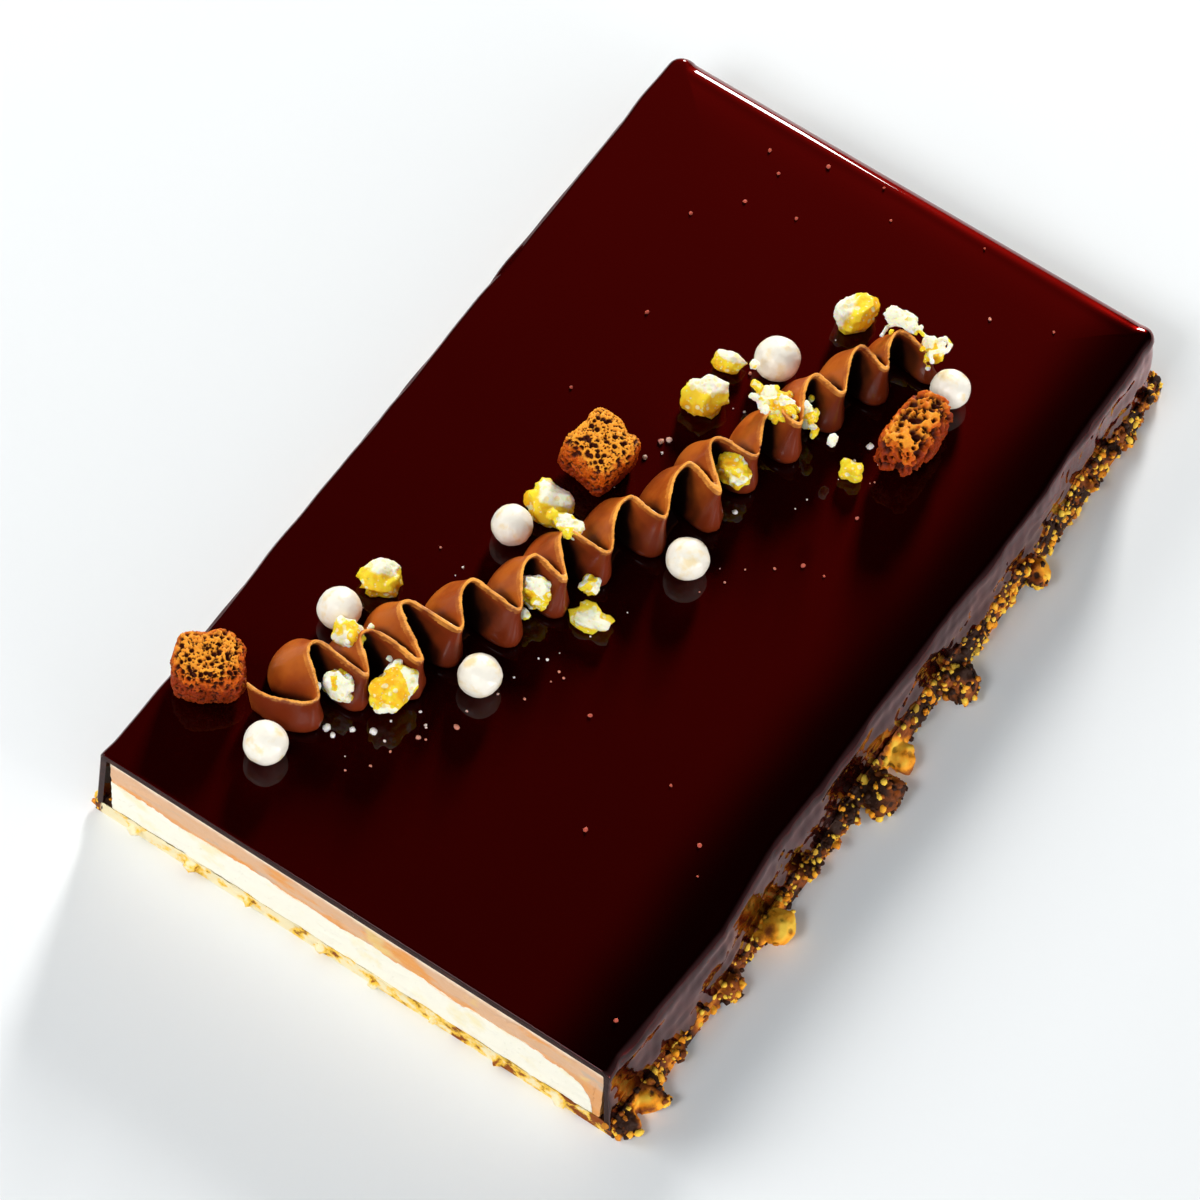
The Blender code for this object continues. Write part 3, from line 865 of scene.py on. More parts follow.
class FoamTree(FormTree):
    """Roughens a surface and opens pores in it, as in boiled sugar foam or baked crumb."""

    inputs = dict.fromkeys(Foam._fields, "Float")
    floor_share = 0.45
    small_spacing = 0.47
    small_width = 0.9
    small_depth = 0.7
    fineness = 2.6

    def pores(self, place: Value, spacing: Value, width: Value) -> Value:
        """Share of each pore's depth, 1 in its middle."""
        values = {"Vector": place, "Scale": 1 / spacing, "Randomness": 1.0}
        distance = self.value("ShaderNodeTexVoronoi", values)
        return distance.step(width, width * self.floor_share)

    def swing(self, place: Value, scale: Value, detail: float) -> Value:
        """Noise from -1 to 1."""
        values = {"Vector": place, "Scale": scale, "Detail": detail}
        return self.value("ShaderNodeTexNoise", values) * 2 - 1

    def grow(self) -> None:
        """Make the tree's nodes."""
        normal = self.value("GeometryNodeInputNormal", output="Normal")
        seed = self.given("seed")
        shift = self.value("ShaderNodeCombineXYZ", {"X": seed, "Y": seed * 1.7, "Z": seed * 0.6})
        sides = {0: self.value("GeometryNodeInputPosition"), 1: shift}
        place = self.value("ShaderNodeVectorMath", sides, operation="ADD")
        spacing = self.given("pore_spacing")
        width = self.given("pore_width")
        small = self.pores(place, spacing * self.small_spacing, width * self.small_width)
        pit = self.pores(place, spacing, width).larger(small * self.small_depth)
        lump = self.swing(place, 1 / self.given("lump_size"), 2.0)
        fine = self.swing(place, self.fineness / spacing, 3.0)
        rough = self.named("rough")
        height = self.given("lump_height") * lump + self.given("fine_height") * fine
        height = (height - self.given("pore_depth") * pit) * rough
        values = {0: normal, "Scale": height}
        offset = self.value("ShaderNodeVectorMath", values, operation="SCALE")
        # The pits' depth and the faces' upward tilt go to the materials: the biscuit and the
        # honeycomb paint shade in the pits, and the honeycomb paints light on upward faces.
        kept = self.keep(self.given("Geometry"), "pit", pit * rough)
        kept = self.keep(kept, "upward", self.value("ShaderNodeSeparateXYZ", {0: normal}, "Z"))
        self.close(self.value("GeometryNodeSetPosition", {"Geometry": kept, "Offset": offset}))

    def open(self, made: Object, foam: Foam, finish: Material) -> None:
        """Roughen an object whose points carry the number "rough".

        Args:
            made: the object.
            foam: its roughness.
            finish: its material.
        """
        self.apply(made, {**foam._asdict(), "Material": finish})


class GrainTree(FormTree):
    """Strews grains of a collection over a surface, as thickly as its number "crumbs" says."""

    inputs = {
        "Grains": "Collection",
        "Density": "Float",
        "Smallest": "Float",
        "Largest": "Float",
        "Seed": "Int",
    }

    def spots(self) -> Value:
        """Points that the grains go to."""
        values = {
            "Mesh": self.given("Geometry"),
            "Density": self.given("Density") * self.named("crumbs"),
            "Seed": self.given("Seed"),
        }
        return self.value("GeometryNodeDistributePointsOnFaces", values)

    def size(self) -> Value:
        """Scale of a grain, small ones more often."""
        share = self.chance(self.given("Seed"))
        span = self.given("Largest") - self.given("Smallest")
        return self.given("Smallest") + span * share * share

    def grow(self) -> None:
        """Make the tree's nodes."""
        seed = self.given("Seed")
        grains = {"Collection": self.given("Grains")}
        grains |= {"Separate Children": True, "Reset Children": True}
        turns = {"Max": (6.283, 6.283, 6.283), "Seed": seed + 3}
        values = {
            "Points": self.spots(),
            "Instance": self.value("GeometryNodeCollectionInfo", grains),
            "Pick Instance": True,
            "Rotation": self.value("FunctionNodeRandomValue", turns, data_type="FLOAT_VECTOR"),
            "Scale": self.size(),
        }
        placed = self.value("GeometryNodeInstanceOnPoints", values)
        self.close(self.keep(placed, "tone", self.chance(seed + 9), "INSTANCE"))

    def strew(self, made: Object, kinds: int, seed: int, values: dict[str, object]) -> None:
        """Strew grains on an object, of which nothing else is left.

        Args:
            made: the object.
            kinds: how many kinds of grain.
            seed: seed of their shapes and places.
            values: the tree's other inputs.
        """
        grains = grain_collection(made.name, kinds, seed)
        self.apply(made, {"Grains": grains, "Seed": seed, **values})
        for grain in list(grains.objects):
            bpy.data.objects.remove(grain, do_unlink=True)
        bpy.data.collections.remove(grains)


class SpeckTree(GrainTree):
    """Puts a grain at each point of a mesh, at the scale that its own number "size" says."""

    def spots(self) -> Value:
        """Points that the grains go to."""
        return self.given("Geometry")

    def size(self) -> Value:
        """Scale of a grain."""
        return self.named("size")


def grain_collection(name: str, kinds: int, seed: int) -> bpy.types.Collection:
    """A few uneven grains, each 1 across with a few dozen faces.

    Args:
        name: start of the grains' names.
        kinds: how many grains.
        seed: seed of their shapes.

    Returns:
        The collection, left out of the scene.
    """
    made = bpy.data.collections.new(name)
    rng = random.Random(seed)
    for i in range(kinds):
        bm = bmesh.new()
        bmesh.ops.create_cube(bm, size=1.0)
        bmesh.ops.subdivide_edges(bm, edges=bm.edges, cuts=1, use_grid_fill=True)
        stretch = Vector((rng.uniform(0.7, 1.2), rng.uniform(0.7, 1.1), rng.uniform(0.55, 0.9)))
        for vert in bm.verts:
            way = vert.co.normalized()
            vert.co = Vector(a * b for a, b in zip(way, stretch)) * rng.uniform(0.36, 0.56)
        grain = f"{name}_grain_{i}"
        made.objects.link(bpy.data.objects.new(grain, mesh_from(grain, bm)))
    return made


# ---- Slab --------------------------------------------------------------------------------


@dataclass
class Slab:
    """Sizes of the slab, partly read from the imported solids."""

    near: float = field(default_factory=lambda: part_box("mousse_layer")[0].y)
    far: float = 0.0695
    half_width: float = 0.040
    height: float = field(default_factory=lambda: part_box("glaze")[1].z)
    draft: float = 0.0013
    biscuit: float = 0.0031
    cream: float = 0.0108
    coat: float = 0.0012
    side_coat: float = 0.0010

    def wall(self, height: float) -> float:
        """Half-width of the glazed slab at a height."""
        return self.half_width + self.draft * (1 - height / self.height)


@dataclass
class GlazeCoat:
    """The glaze: a thin shell over the top, both long sides and the far side, open at the cut."""

    slab: Slab
    edge_radius: float = 0.0014
    corner_radius: float = 0.0030
    least_corner: float = 0.00005
    dome: float = 0.00014
    dome_reach: float = 0.0045
    ripple: float = 0.00004
    ripple_length: float = 0.019
    ripple_reach: float = 0.003
    foot: float = 0.0005
    left_round: float = 0.45
    far_round: float = 2.2
    round_reach: float = 0.003
    stray: float = 0.0004
    stray_reach: float = 0.006
    # Weight, length and seed of each swing of the left edge.
    swings: tuple[Place, ...] = ((1.0, 0.018, 3.3), (0.5, 0.007, 8.1))
    drip: float = 0.0005
    drip_reach: float = 0.0022
    fold: float = 0.00032
    fold_side: float = 0.03
    fold_drop: float = 0.0012
    folds: tuple[tuple[float, ...], ...] = (
        (1.0, 0.0060, 0.0045, 2.0),
        (0.7, 0.0130, 0.0021, 6.0),
        (0.35, 0.0014, 0.0030, 9.0),
    )
    side_stops: int = 330
    wall_rows: int = 18
    edge_rows: int = 8
    corner_stops: int = 8
    far_stops: int = 66
    side_tilt: float = 0.5
    cut_facing: float = -0.8
    sharp: float = math.radians(50)
    lip: tuple[Span, ...] = ((0.0, 0.20), (0.00005, 0.06), (0.00018, 0.0))
    top_shares: tuple[float, ...] = (
        *(0.012, 0.03, 0.055, 0.09, 0.14, 0.2, 0.28),
        *(0.37, 0.47, 0.58, 0.69, 0.8, 0.9, 1.0),
    )
    # Along the right edge: place and how far it strays out there, as in the photo.
    right_edge: tuple[Span, ...] = (
        *((-0.0695, -0.0002), (-0.0560, 0.0007), (-0.0440, 0.0013), (-0.0315, 0.0001)),
        *((-0.0190, -0.0004), (-0.0050, -0.0003), (0.0140, -0.0006), (0.0240, -0.0011)),
        *((0.0360, -0.0012), (0.0470, -0.0005), (0.0680, -0.0003)),
    )

    def wander(self, x: float, y: float, inset: float) -> float:
        """How far a long edge strays outwards.

        Args:
            x: place across the slab, of which the side counts.
            y: place along the slab.
            inset: inset from the outline; further in, it strays less.

        Returns:
            The distance.
        """
        fade = math.exp(-((inset / self.stray_reach) ** 2))
        if x > 0:
            stations, offsets = zip(*self.right_edge)
            return float(np.interp(y, stations, offsets)) * fade
        swing = sum(weight * scattered(y / run, seed, 0.0) for weight, run, seed in self.swings)
        drip = self.drip * math.exp(-(((y - self.slab.near) / self.drip_reach) ** 2))
        return (self.stray * swing + drip) * fade

    def ring(self, inset: float) -> list[Place]:
        """Plan of the shell.

        Args:
            inset: inset from its outline.

        Returns:
            x, y and how far the wall faces sideways there, from the left end round.
        """
        across = self.slab.half_width - inset
        far = self.slab.far - inset
        corner = max(self.corner_radius - inset, self.least_corner)
        stops = [self.slab.near + run for run, _ in self.lip]
        start = stops[-1]
        span = far - corner - start
        stops += [start + span * (i + 1) / self.side_stops for i in range(self.side_stops)]
        left = [(-across, y, -1.0) for y in stops]
        for i in range(1, self.corner_stops):
            angle = math.pi / 2 * i / self.corner_stops
            x = -across + corner * (1 - math.cos(angle))
            left.append((x, far - corner * (1 - math.sin(angle)), -math.cos(angle)))
        width = 2 * (across - corner)
        shares = range(self.far_stops + 1)
        middle = [(-across + corner + width * i / self.far_stops, far, 0.0) for i in shares]
        return left + middle + [(-x, y, -way) for x, y, way in reversed(left)]

    def rows(self) -> list[tuple[float, ...]]:
        """Inset and height of each row, outside and inside, from the foot up and over the top."""
        slab = self.slab
        rise = slab.height - self.edge_radius
        inner_top = slab.height - slab.coat
        rows = []
        for i in range(self.wall_rows):
            height = self.foot + (rise - self.foot) * i / (self.wall_rows - 1)
            lean = slab.half_width - slab.wall(height)
            rows.append((lean, height, lean + slab.side_coat, min(height, inner_top)))
        for i in range(1, self.edge_rows + 1):
            angle = math.pi / 2 * i / self.edge_rows
            inset = self.edge_radius * (1 - math.cos(angle))
            height = rise + self.edge_radius * math.sin(angle)
            rows.append((inset, height, max(inset, slab.side_coat) + 2 * HAIR * i, inner_top))
        reach = slab.half_width - 10 * HAIR
        for share in self.top_shares:
            inset = self.edge_radius + (reach - self.edge_radius) * share
            rows.append((inset, slab.height, inset, inner_top))
        return rows

    def shoulder(self, x: float, way: float, inset: float, height: float) -> Span:
        """Make an edge rounder or sharper than the rest.

        Args:
            x: the point's place across the slab.
            way: how far its wall faces sideways, -1 on the left and 1 on the right.
            inset: its inset from the outline.
            height: its height with the common edge radius.

        Returns:
            The shift outwards and the new height.
        """
        size = 1.0 + (self.left_round - 1) * max(0.0, -way)
        along_far = abs(x) < self.slab.half_width - 10 * HAIR
        size += (self.far_round - 1) * (1 - abs(way)) * along_far
        top = self.slab.height
        fade = math.exp(-((max(0.0, inset - self.edge_radius) / self.round_reach) ** 2))
        shift = (1 - size) * min(max(inset, 0.0), self.edge_radius) * fade
        rise = top - self.edge_radius
        if height > rise:
            return shift, top - (top - height) * size
        share = (height - self.foot) / (rise - self.foot)
        return shift, self.foot + (top - self.edge_radius * size - self.foot) * share

    def crease(self, x: float, y: float, height: float) -> float:
        """Fine folds where the glaze ran down the right side.

        Args:
            x: place across the slab.
            y: place along the slab.
            height: height above the table.

        Returns:
            How far the folds stand out there.
        """
        if x < self.fold_side:
            return 0.0
        fold = sum(
            weight * scattered(y / length, height / drop, seed)
            for weight, length, drop, seed in self.folds
        )
        return self.fold * fold * eased((self.slab.height - height) / self.fold_drop)

    def surface(self, insets: Sequence[float], heights: Sequence[float], outer: bool) -> np.ndarray:
        """Points of one of the shell's surfaces.

        Args:
            insets: inset of each row.
            heights: height of each row.
            outer: whether it is the outer one.

        Returns:
            The points by row and column.
        """
        points = []
        for inset, height in zip(insets, heights):
            for x, y, way in self.ring(inset):
                stray = self.wander(x, y, max(inset, 0.0))
                lift = 0.0
                if outer:
                    shift, raised = self.shoulder(x, way, inset, height)
                    lift = raised - height
                    stray += shift * abs(way) + self.crease(x, y, height)
                    y += shift * math.sqrt(max(0.0, 1 - way * way))
                if outer and height > self.slab.height - HAIR:
                    depth = inset - self.edge_radius
                    lift += self.dome * (1 - math.exp(-((depth / self.dome_reach) ** 2)))
                    ripple = noise.noise(Vector((x, y, 0.4)) / self.ripple_length)
                    lift += self.ripple * ripple * min(1.0, depth / self.ripple_reach)
                side = math.copysign(stray, x) * (abs(x) > MM)
                points.append((x + side, y, height + lift))
        return np.array(points).reshape(len(insets), -1, 3)

    def faces(self, count: int, width: int) -> list[Sequence[int]]:
        """Faces of both surfaces with count rows of width points, and across the last row."""
        faces = shell_faces(count, width, (0,))
        for base in ((count - 1) * width, (2 * count - 1) * width):
            for j in range((width - 1) // 2):
                k = width - 1 - j
                faces.append(tuple(dict.fromkeys((base + j, base + j + 1, base + k - 1, base + k))))
        return faces

    def make(self, finish: Material, cut: Material, side: Material) -> None:
        """Build the piece.

        Args:
            finish: material of the top.
            cut: material of the edge that the knife cut.
            side: material of the side walls.
        """
        insets, heights, inner_insets, inner_heights = zip(*self.rows())
        outer = self.surface(insets, heights, True)
        inner = self.surface(inner_insets, inner_heights, False)
        for i, (_, share) in enumerate(self.lip):
            for column in (i, -1 - i):
                y = outer[:, column, 1].copy()
                outer[:, column] += (inner[:, column] - outer[:, column]) * share
                outer[:, column, 1] = y
        points = np.concatenate([outer.reshape(-1, 3), inner.reshape(-1, 3)])
        mesh = mesh_of("glaze_coat", points, self.faces(*outer.shape[:2]))
        mesh.set_sharp_from_angle(angle=self.sharp)
        join_piece(object_of("glaze_coat", mesh), finish, Slot.GLAZE, "glaze")
        mesh.materials.append(cut)
        mesh.materials.append(side)
        for polygon in mesh.polygons:
            at_cut = polygon.center.y < self.slab.near + 2 * HAIR
            if polygon.normal.y < self.cut_facing and at_cut:
                polygon.material_index = 1
            elif abs(polygon.normal.z) < self.side_tilt:
                polygon.material_index = 2


@dataclass
class CutLayer:
    """A layer of the slab, with the marks of the knife on its cut face."""

    slab: Slab
    name: str
    floor: Callable[[float], float]
    ceiling: Callable[[float], float]
    columns: Sequence[float]
    drag: float = 0.00016
    least_drag: float = 0.9
    long_marks: Span = (0.0034, 0.0011)
    short_marks: Span = (0.0009, 0.0005)
    short_weight: float = 0.5
    rows: int = 14
    seed: float = 0.0
    sharp: float = math.radians(45)

    def relief(self, x: float, z: float) -> float:
        """How far the knife has dragged the face in at a place."""
        wide, high = self.long_marks
        long_drag = scattered(x / wide, z / high, self.seed)
        wide, high = self.short_marks
        short_drag = scattered(x / wide, z / high, self.seed + 4)
        return self.drag * (self.least_drag + long_drag + self.short_weight * short_drag)

    def make(self, finish: Material, slot: Slot) -> None:
        """Build the piece.

        Args:
            finish: its material.
            slot: the record's slot for it.
        """
        points = []
        for x in self.columns:
            low, high = self.floor(x), self.ceiling(x)
            for i in range(self.rows + 1):
                z = low + (high - low) * i / self.rows
                points.append((x, self.slab.near + self.relief(x, z), z))
        front = np.array(points)
        rear = front.copy()
        rear[:, 1] = self.slab.far - self.slab.side_coat
        count = len(self.columns)
        faces = shell_faces(count, self.rows + 1, (0, count - 1))
        mesh = mesh_of(self.name, np.concatenate([front, rear]), faces)
        mesh.set_sharp_from_angle(angle=self.sharp)
        made = object_of(self.name, mesh)
        join_piece(made, finish, slot, self.name.replace("_cut", "_layer"))


@dataclass
class Filling:
    """The cream and the mousse that covers it."""

    slab: Slab
    shoulder: float = 0.0048
    shoulder_stops: int = 24
    shoulder_drop: float = 0.97
    wrap: float = 0.0013
    step: float = 0.00025
    overlap: float = 0.00012
    mousse_drag: float = 0.00022
    # Height and length of each wave of the layers, and of the cream's sag to the left.
    drifts: tuple[Span, ...] = ((0.0003, 0.021), (0.00015, 0.0087))
    ripple: Span = (0.00012, 0.0021)
    sag: Span = (0.0004, 0.05)
    wave: Span = (0.0003, 0.003)

    def __post_init__(self) -> None:
        """Work out where the cream ends on the right."""
        self.end = self.slab.wall(self.slab.cream) - self.slab.side_coat - self.wrap

    def cream_top(self, x: float) -> float:
        """Height of the join between cream and mousse."""
        turn = 2 * math.pi * x
        drift = sum(height * math.sin(turn / length) for height, length in self.drifts)
        ripple = self.ripple[0] * scattered(x / self.ripple[1], 0.3, 0.9)
        top = self.slab.cream + drift + ripple - self.sag[0] * eased(-x / self.sag[1])
        past = (x - (self.end - self.shoulder)) / self.shoulder
        if past <= 0:
            return top
        drop = 1 - math.sqrt(max(0.0, 1 - min(past, 1.0) ** 2))
        return top - (top - self.slab.biscuit) * drop * self.shoulder_drop

    def base(self, x: float) -> float:
        """Height of the cream's underside, a little in the biscuit."""
        wave = self.wave[0] * scattered(x / self.wave[1], 5.5, 0.1)
        return self.slab.biscuit + wave - self.overlap

    def mousse_floor(self, x: float) -> float:
        """Height of the mousse's underside, a little in what it lies on."""
        return self.cream_top(x) - self.overlap if x < self.end else self.base(x)

    def make(self, mousse: Material, cream: Material) -> None:
        """Build both pieces, each of its material."""
        slab = self.slab
        end = self.end
        inside = slab.wall(slab.height) - slab.side_coat + 10 * HAIR
        stops = np.arange(-inside, end - self.shoulder, self.step).tolist()
        for i in range(self.shoulder_stops):
            turn = math.pi / 2 * i / self.shoulder_stops
            stops.append(end - self.shoulder * (1 - math.sin(turn)))
        stops.append(end - HAIR)
        layer = CutLayer(slab, "cream_cut", self.base, self.cream_top, stops, seed=2.0)
        layer.make(cream, Slot.CREAM)
        top = slab.height - slab.coat + 5 * HAIR
        wrapped = np.linspace(end + 30 * HAIR, inside + 30 * HAIR, 5).tolist()
        stops = [*stops, end + 10 * HAIR, *wrapped]
        layer = CutLayer(slab, "mousse_cut", self.mousse_floor, lambda x: top, stops)
        layer.drag, layer.seed = self.mousse_drag, 7.0
        layer.make(mousse, Slot.MOUSSE)


@dataclass
class BiscuitBase:
    """The biscuit layer, the crumbs pressed round its foot, and loose grains among them."""

    slab: Slab
    reach: float = 0.0006
    side_depth: float = 0.0004
    far_depth: float = 0.0014
    stiff_height: float = 0.0005
    rounds: int = 5
    softness: int = 5
    foam: Foam = Foam(0.0024, 0.00045, 0.0019, 0.00055, 0.42, 0.00022, 2.0)
    cut_rough: float = 0.35
    front_cut: float = 0.8
    lump_smooth: float = 0.45
    lump_edge: float = 1.6
    grain_sizes: Span = (0.00045, 0.0015)
    grain_density: float = 1.15e6
    kinds: int = 6
    seed: int = 5
    tint: Span = (0.18, 0.55)
    tint_patch: float = 0.0045
    high: float = 0.0045
    high_tint: float = 0.35
    lump_tint: Span = (0.66, 0.5)
    lump_patch: float = 0.0021
    left_side: float = -0.03
    left_share: float = 0.60
    smooth_lumps: tuple[tuple[Place, float], ...] = (
        ((0.0440, -0.0325, 0.0026), 0.0034),
        ((0.0440, -0.0010, 0.0030), 0.0036),
        ((0.0435, -0.0640, 0.0020), 0.0022),
        ((0.0445, 0.0350, 0.0030), 0.0020),
    )

    def outside(self, place: Vector) -> bool:
        """Whether a place is among the crumbs outside the glaze."""
        beside = abs(place.x) > self.slab.wall(place.z) - self.side_depth
        return beside or place.y > self.slab.far + self.slab.draft - self.far_depth

    def at_cut(self, place: Vector) -> bool:
        """Whether a place is on the cut face or before it."""
        return place.y < self.slab.near + 2 * HAIR

    def long(self, edge: bmesh.types.BMEdge) -> bool:
        """Whether an edge shows and is too long."""
        middle = (edge.verts[0].co + edge.verts[1].co) / 2
        shows = self.outside(middle) or self.at_cut(middle)
        return shows and edge.calc_length() > self.reach

    def form(self) -> Mesh:
        """The solid's mesh, finer where it shows."""
        bm = copy_of("biscuit_base")
        for _ in range(self.rounds):
            long = [edge for edge in bm.edges if self.long(edge)]
            bmesh.ops.subdivide_edges(bm, edges=long, cuts=1, smooth=0.0)
            bmesh.ops.triangulate(bm, faces=bm.faces)
        loose = [vert for vert in bm.verts if self.outside(vert.co)]
        loose = [vert for vert in loose if vert.co.z > self.stiff_height]
        axes = {"use_axis_x": True, "use_axis_y": True, "use_axis_z": True}
        for _ in range(self.softness):
            bmesh.ops.smooth_vert(bm, verts=loose, factor=0.5, **axes)
        return mesh_from("biscuit_base", bm)

    def mark(self, mesh: Mesh) -> None:
        """Carry how rough, cut, light and thick with crumbs each point is."""
        slab = self.slab
        places = [vert.co.copy() for vert in mesh.vertices]
        shown = np.array([self.outside(place) for place in places], float)
        cut = np.array([self.at_cut(place) for place in places], float)
        front = np.array([place.y < slab.near + 10 * HAIR for place in places], float)
        low = np.array([eased(place.z / self.reach) for place in places])
        smooth = np.zeros(len(places))
        for centre, reach in self.smooth_lumps:
            gaps = np.array([(place - Vector(centre)).length for place in places])
            smooth = np.maximum(smooth, np.clip(self.lump_edge - gaps / reach, 0.0, 1.0))
        tint = np.array([noise.noise(place / self.tint_patch) for place in places])
        spots = np.array([noise.noise(place / self.lump_patch) for place in places])
        rise = [eased((place.z - self.high) / MM) for place in places]
        far = [place.y > slab.far - 2 * MM for place in places]
        tint = self.tint[0] + self.tint[1] * tint + self.high_tint * np.array(rise) * far
        lumps = self.lump_tint[0] + self.lump_tint[1] * spots
        thick = [self.left_share if place.x < self.left_side else 1.0 for place in places]
        rough = np.maximum(shown, self.cut_rough * cut) * low
        carry(mesh, "rough", rough * (1 - self.lump_smooth * smooth))
        carry(mesh, "cut", np.maximum(cut, self.front_cut * front) * (1 - shown))
        carry(mesh, "tone", np.clip(tint, 0, 1) * (1 - smooth) + lumps * smooth)
        carry(mesh, "crumbs", shown * thick * low * (1 - smooth))

    def make(self, finish: Material, foam: FoamTree, grains: GrainTree) -> None:
        """Build the core and the grains.

        Args:
            finish: their material.
            foam: opens the core's pores.
            grains: strews the grains.
        """
        mesh = self.form()
        self.mark(mesh)
        core = object_of("biscuit_core", mesh)
        foam.open(core, self.foam, finish)
        self.inside_box(core.data)
        strewn = object_of("biscuit_grains", core.data.copy())
        smallest, largest = self.grain_sizes
        values = {"Density": self.grain_density, "Smallest": smallest, "Largest": largest}
        grains.strew(strewn, self.kinds, self.seed, {**values, "Material": finish})
        self.inside_box(strewn.data)
        join_piece(core, finish, Slot.BISCUIT, "biscuit_base")
        join_piece(strewn, finish, Slot.BISCUIT)

    @staticmethod
    def inside_box(mesh: Mesh) -> None:
        """Flatten what would reach under the table or out of the solids' box."""
        low, high = CAD_BOX
        move_points(mesh, np.clip(points_of(mesh), np.array(low), np.array(high)))


# ---- Piped ruffle ------------------------------------------------------------------------

# Crest at each turn of the piping bag: station along the ruffle's line and offset to its right.
TURNS = (
    *((-0.0590, -0.0044), (-0.0529, 0.0026), (-0.0489, -0.0048), (-0.0457, 0.0028)),
    *((-0.0420, -0.0033), (-0.0386, 0.0042), (-0.0359, -0.0043), (-0.0318, 0.0026)),
    *((-0.0267, -0.0032), (-0.0233, 0.0036), (-0.0174, -0.0024), (-0.0156, 0.0031)),
    *((-0.0116, -0.0032), (-0.0081, 0.0022), (-0.0015, -0.0031), (0.0007, 0.0025)),
    *((0.0079, -0.0024), (0.0094, 0.0036), (0.0134, -0.0033), (0.0170, 0.0020)),
    *((0.0232, -0.0024), (0.0247, 0.0020), (0.0306, -0.0026), (0.0324, 0.0020)),
    *((0.0385, -0.0020), (0.0402, 0.0027), (0.0450, -0.0006), (0.0472, 0.0048)),
)
# Flakes in the folds: station, offset, height above the glaze, size, seed, how white, grains.
FLAKES = (
    (-0.0434, 0.0050, 0.0046, (0.0050, 0.0076, 0.0042), 27, 0.24, 4),
    (-0.0490, 0.0014, 0.0042, (0.0044, 0.0034, 0.0046), 41, 0.62, 5),
    (-0.0440, -0.0048, 0.0050, (0.0048, 0.0036, 0.0034), 42, 0.60, 6),
    (-0.0192, 0.0012, 0.0042, (0.0046, 0.0036, 0.0050), 43, 0.50, 5),
    (-0.0120, 0.0036, 0.0030, (0.0026, 0.0024, 0.0034), 44, 0.55, 3),
    (0.0138, 0.0008, 0.0044, (0.0050, 0.0038, 0.0040), 45, 0.45, 4),
    (0.0240, -0.0030, 0.0062, (0.0060, 0.0040, 0.0026), 46, 0.62, 22),
    (0.0268, 0.0004, 0.0050, (0.0034, 0.0028, 0.0036), 47, 0.66, 10),
    (0.0462, -0.0016, 0.0068, (0.0056, 0.0028, 0.0016), 48, 1.10, 3),
    (0.0482, 0.0040, 0.0042, (0.0034, 0.0026, 0.0042), 49, 0.45, 3),
    (-0.0104, -0.0042, 0.0062, (0.0044, 0.0030, 0.0014), 50, 1.10, 2),
)
# Plan of the sugar threads at the ruffle's far end.
THREADS = (
    ((0.0107, 0.0416), (0.0106, 0.0432), (0.0116, 0.0448), (0.0136, 0.0455), (0.0156, 0.0448)),
    ((0.0112, 0.0450), (0.0108, 0.0461), (0.0118, 0.0466)),
    (
        *((0.0160, 0.0448), (0.0171, 0.0451), (0.0181, 0.0461), (0.0193, 0.0457)),
        *((0.0194, 0.0443), (0.0184, 0.0438), (0.0176, 0.0430), (0.0188, 0.0417)),
    ),
)


@dataclass
class RuffleLine:
    """The bowed line that the ruffle and its toppings follow."""

    heading: float = math.radians(68.15)
    bow: float = 1.5776
    drift: float = -0.0249
    level: float = field(default_factory=lambda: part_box("ganache_ribbon")[0].z)

    def point(self, station: float, offset: float, height: float = 0.0) -> Vector:
        """World point of a station along the line, an offset to its right and a height."""
        along = Vector((math.cos(self.heading), math.sin(self.heading), 0.0))
        aside = Vector((along.y, -along.x, 0.0))
        bent = -self.bow * station**2 + self.drift * station + offset
        return along * station + aside * bent + Vector((0.0, 0.0, self.level + height))


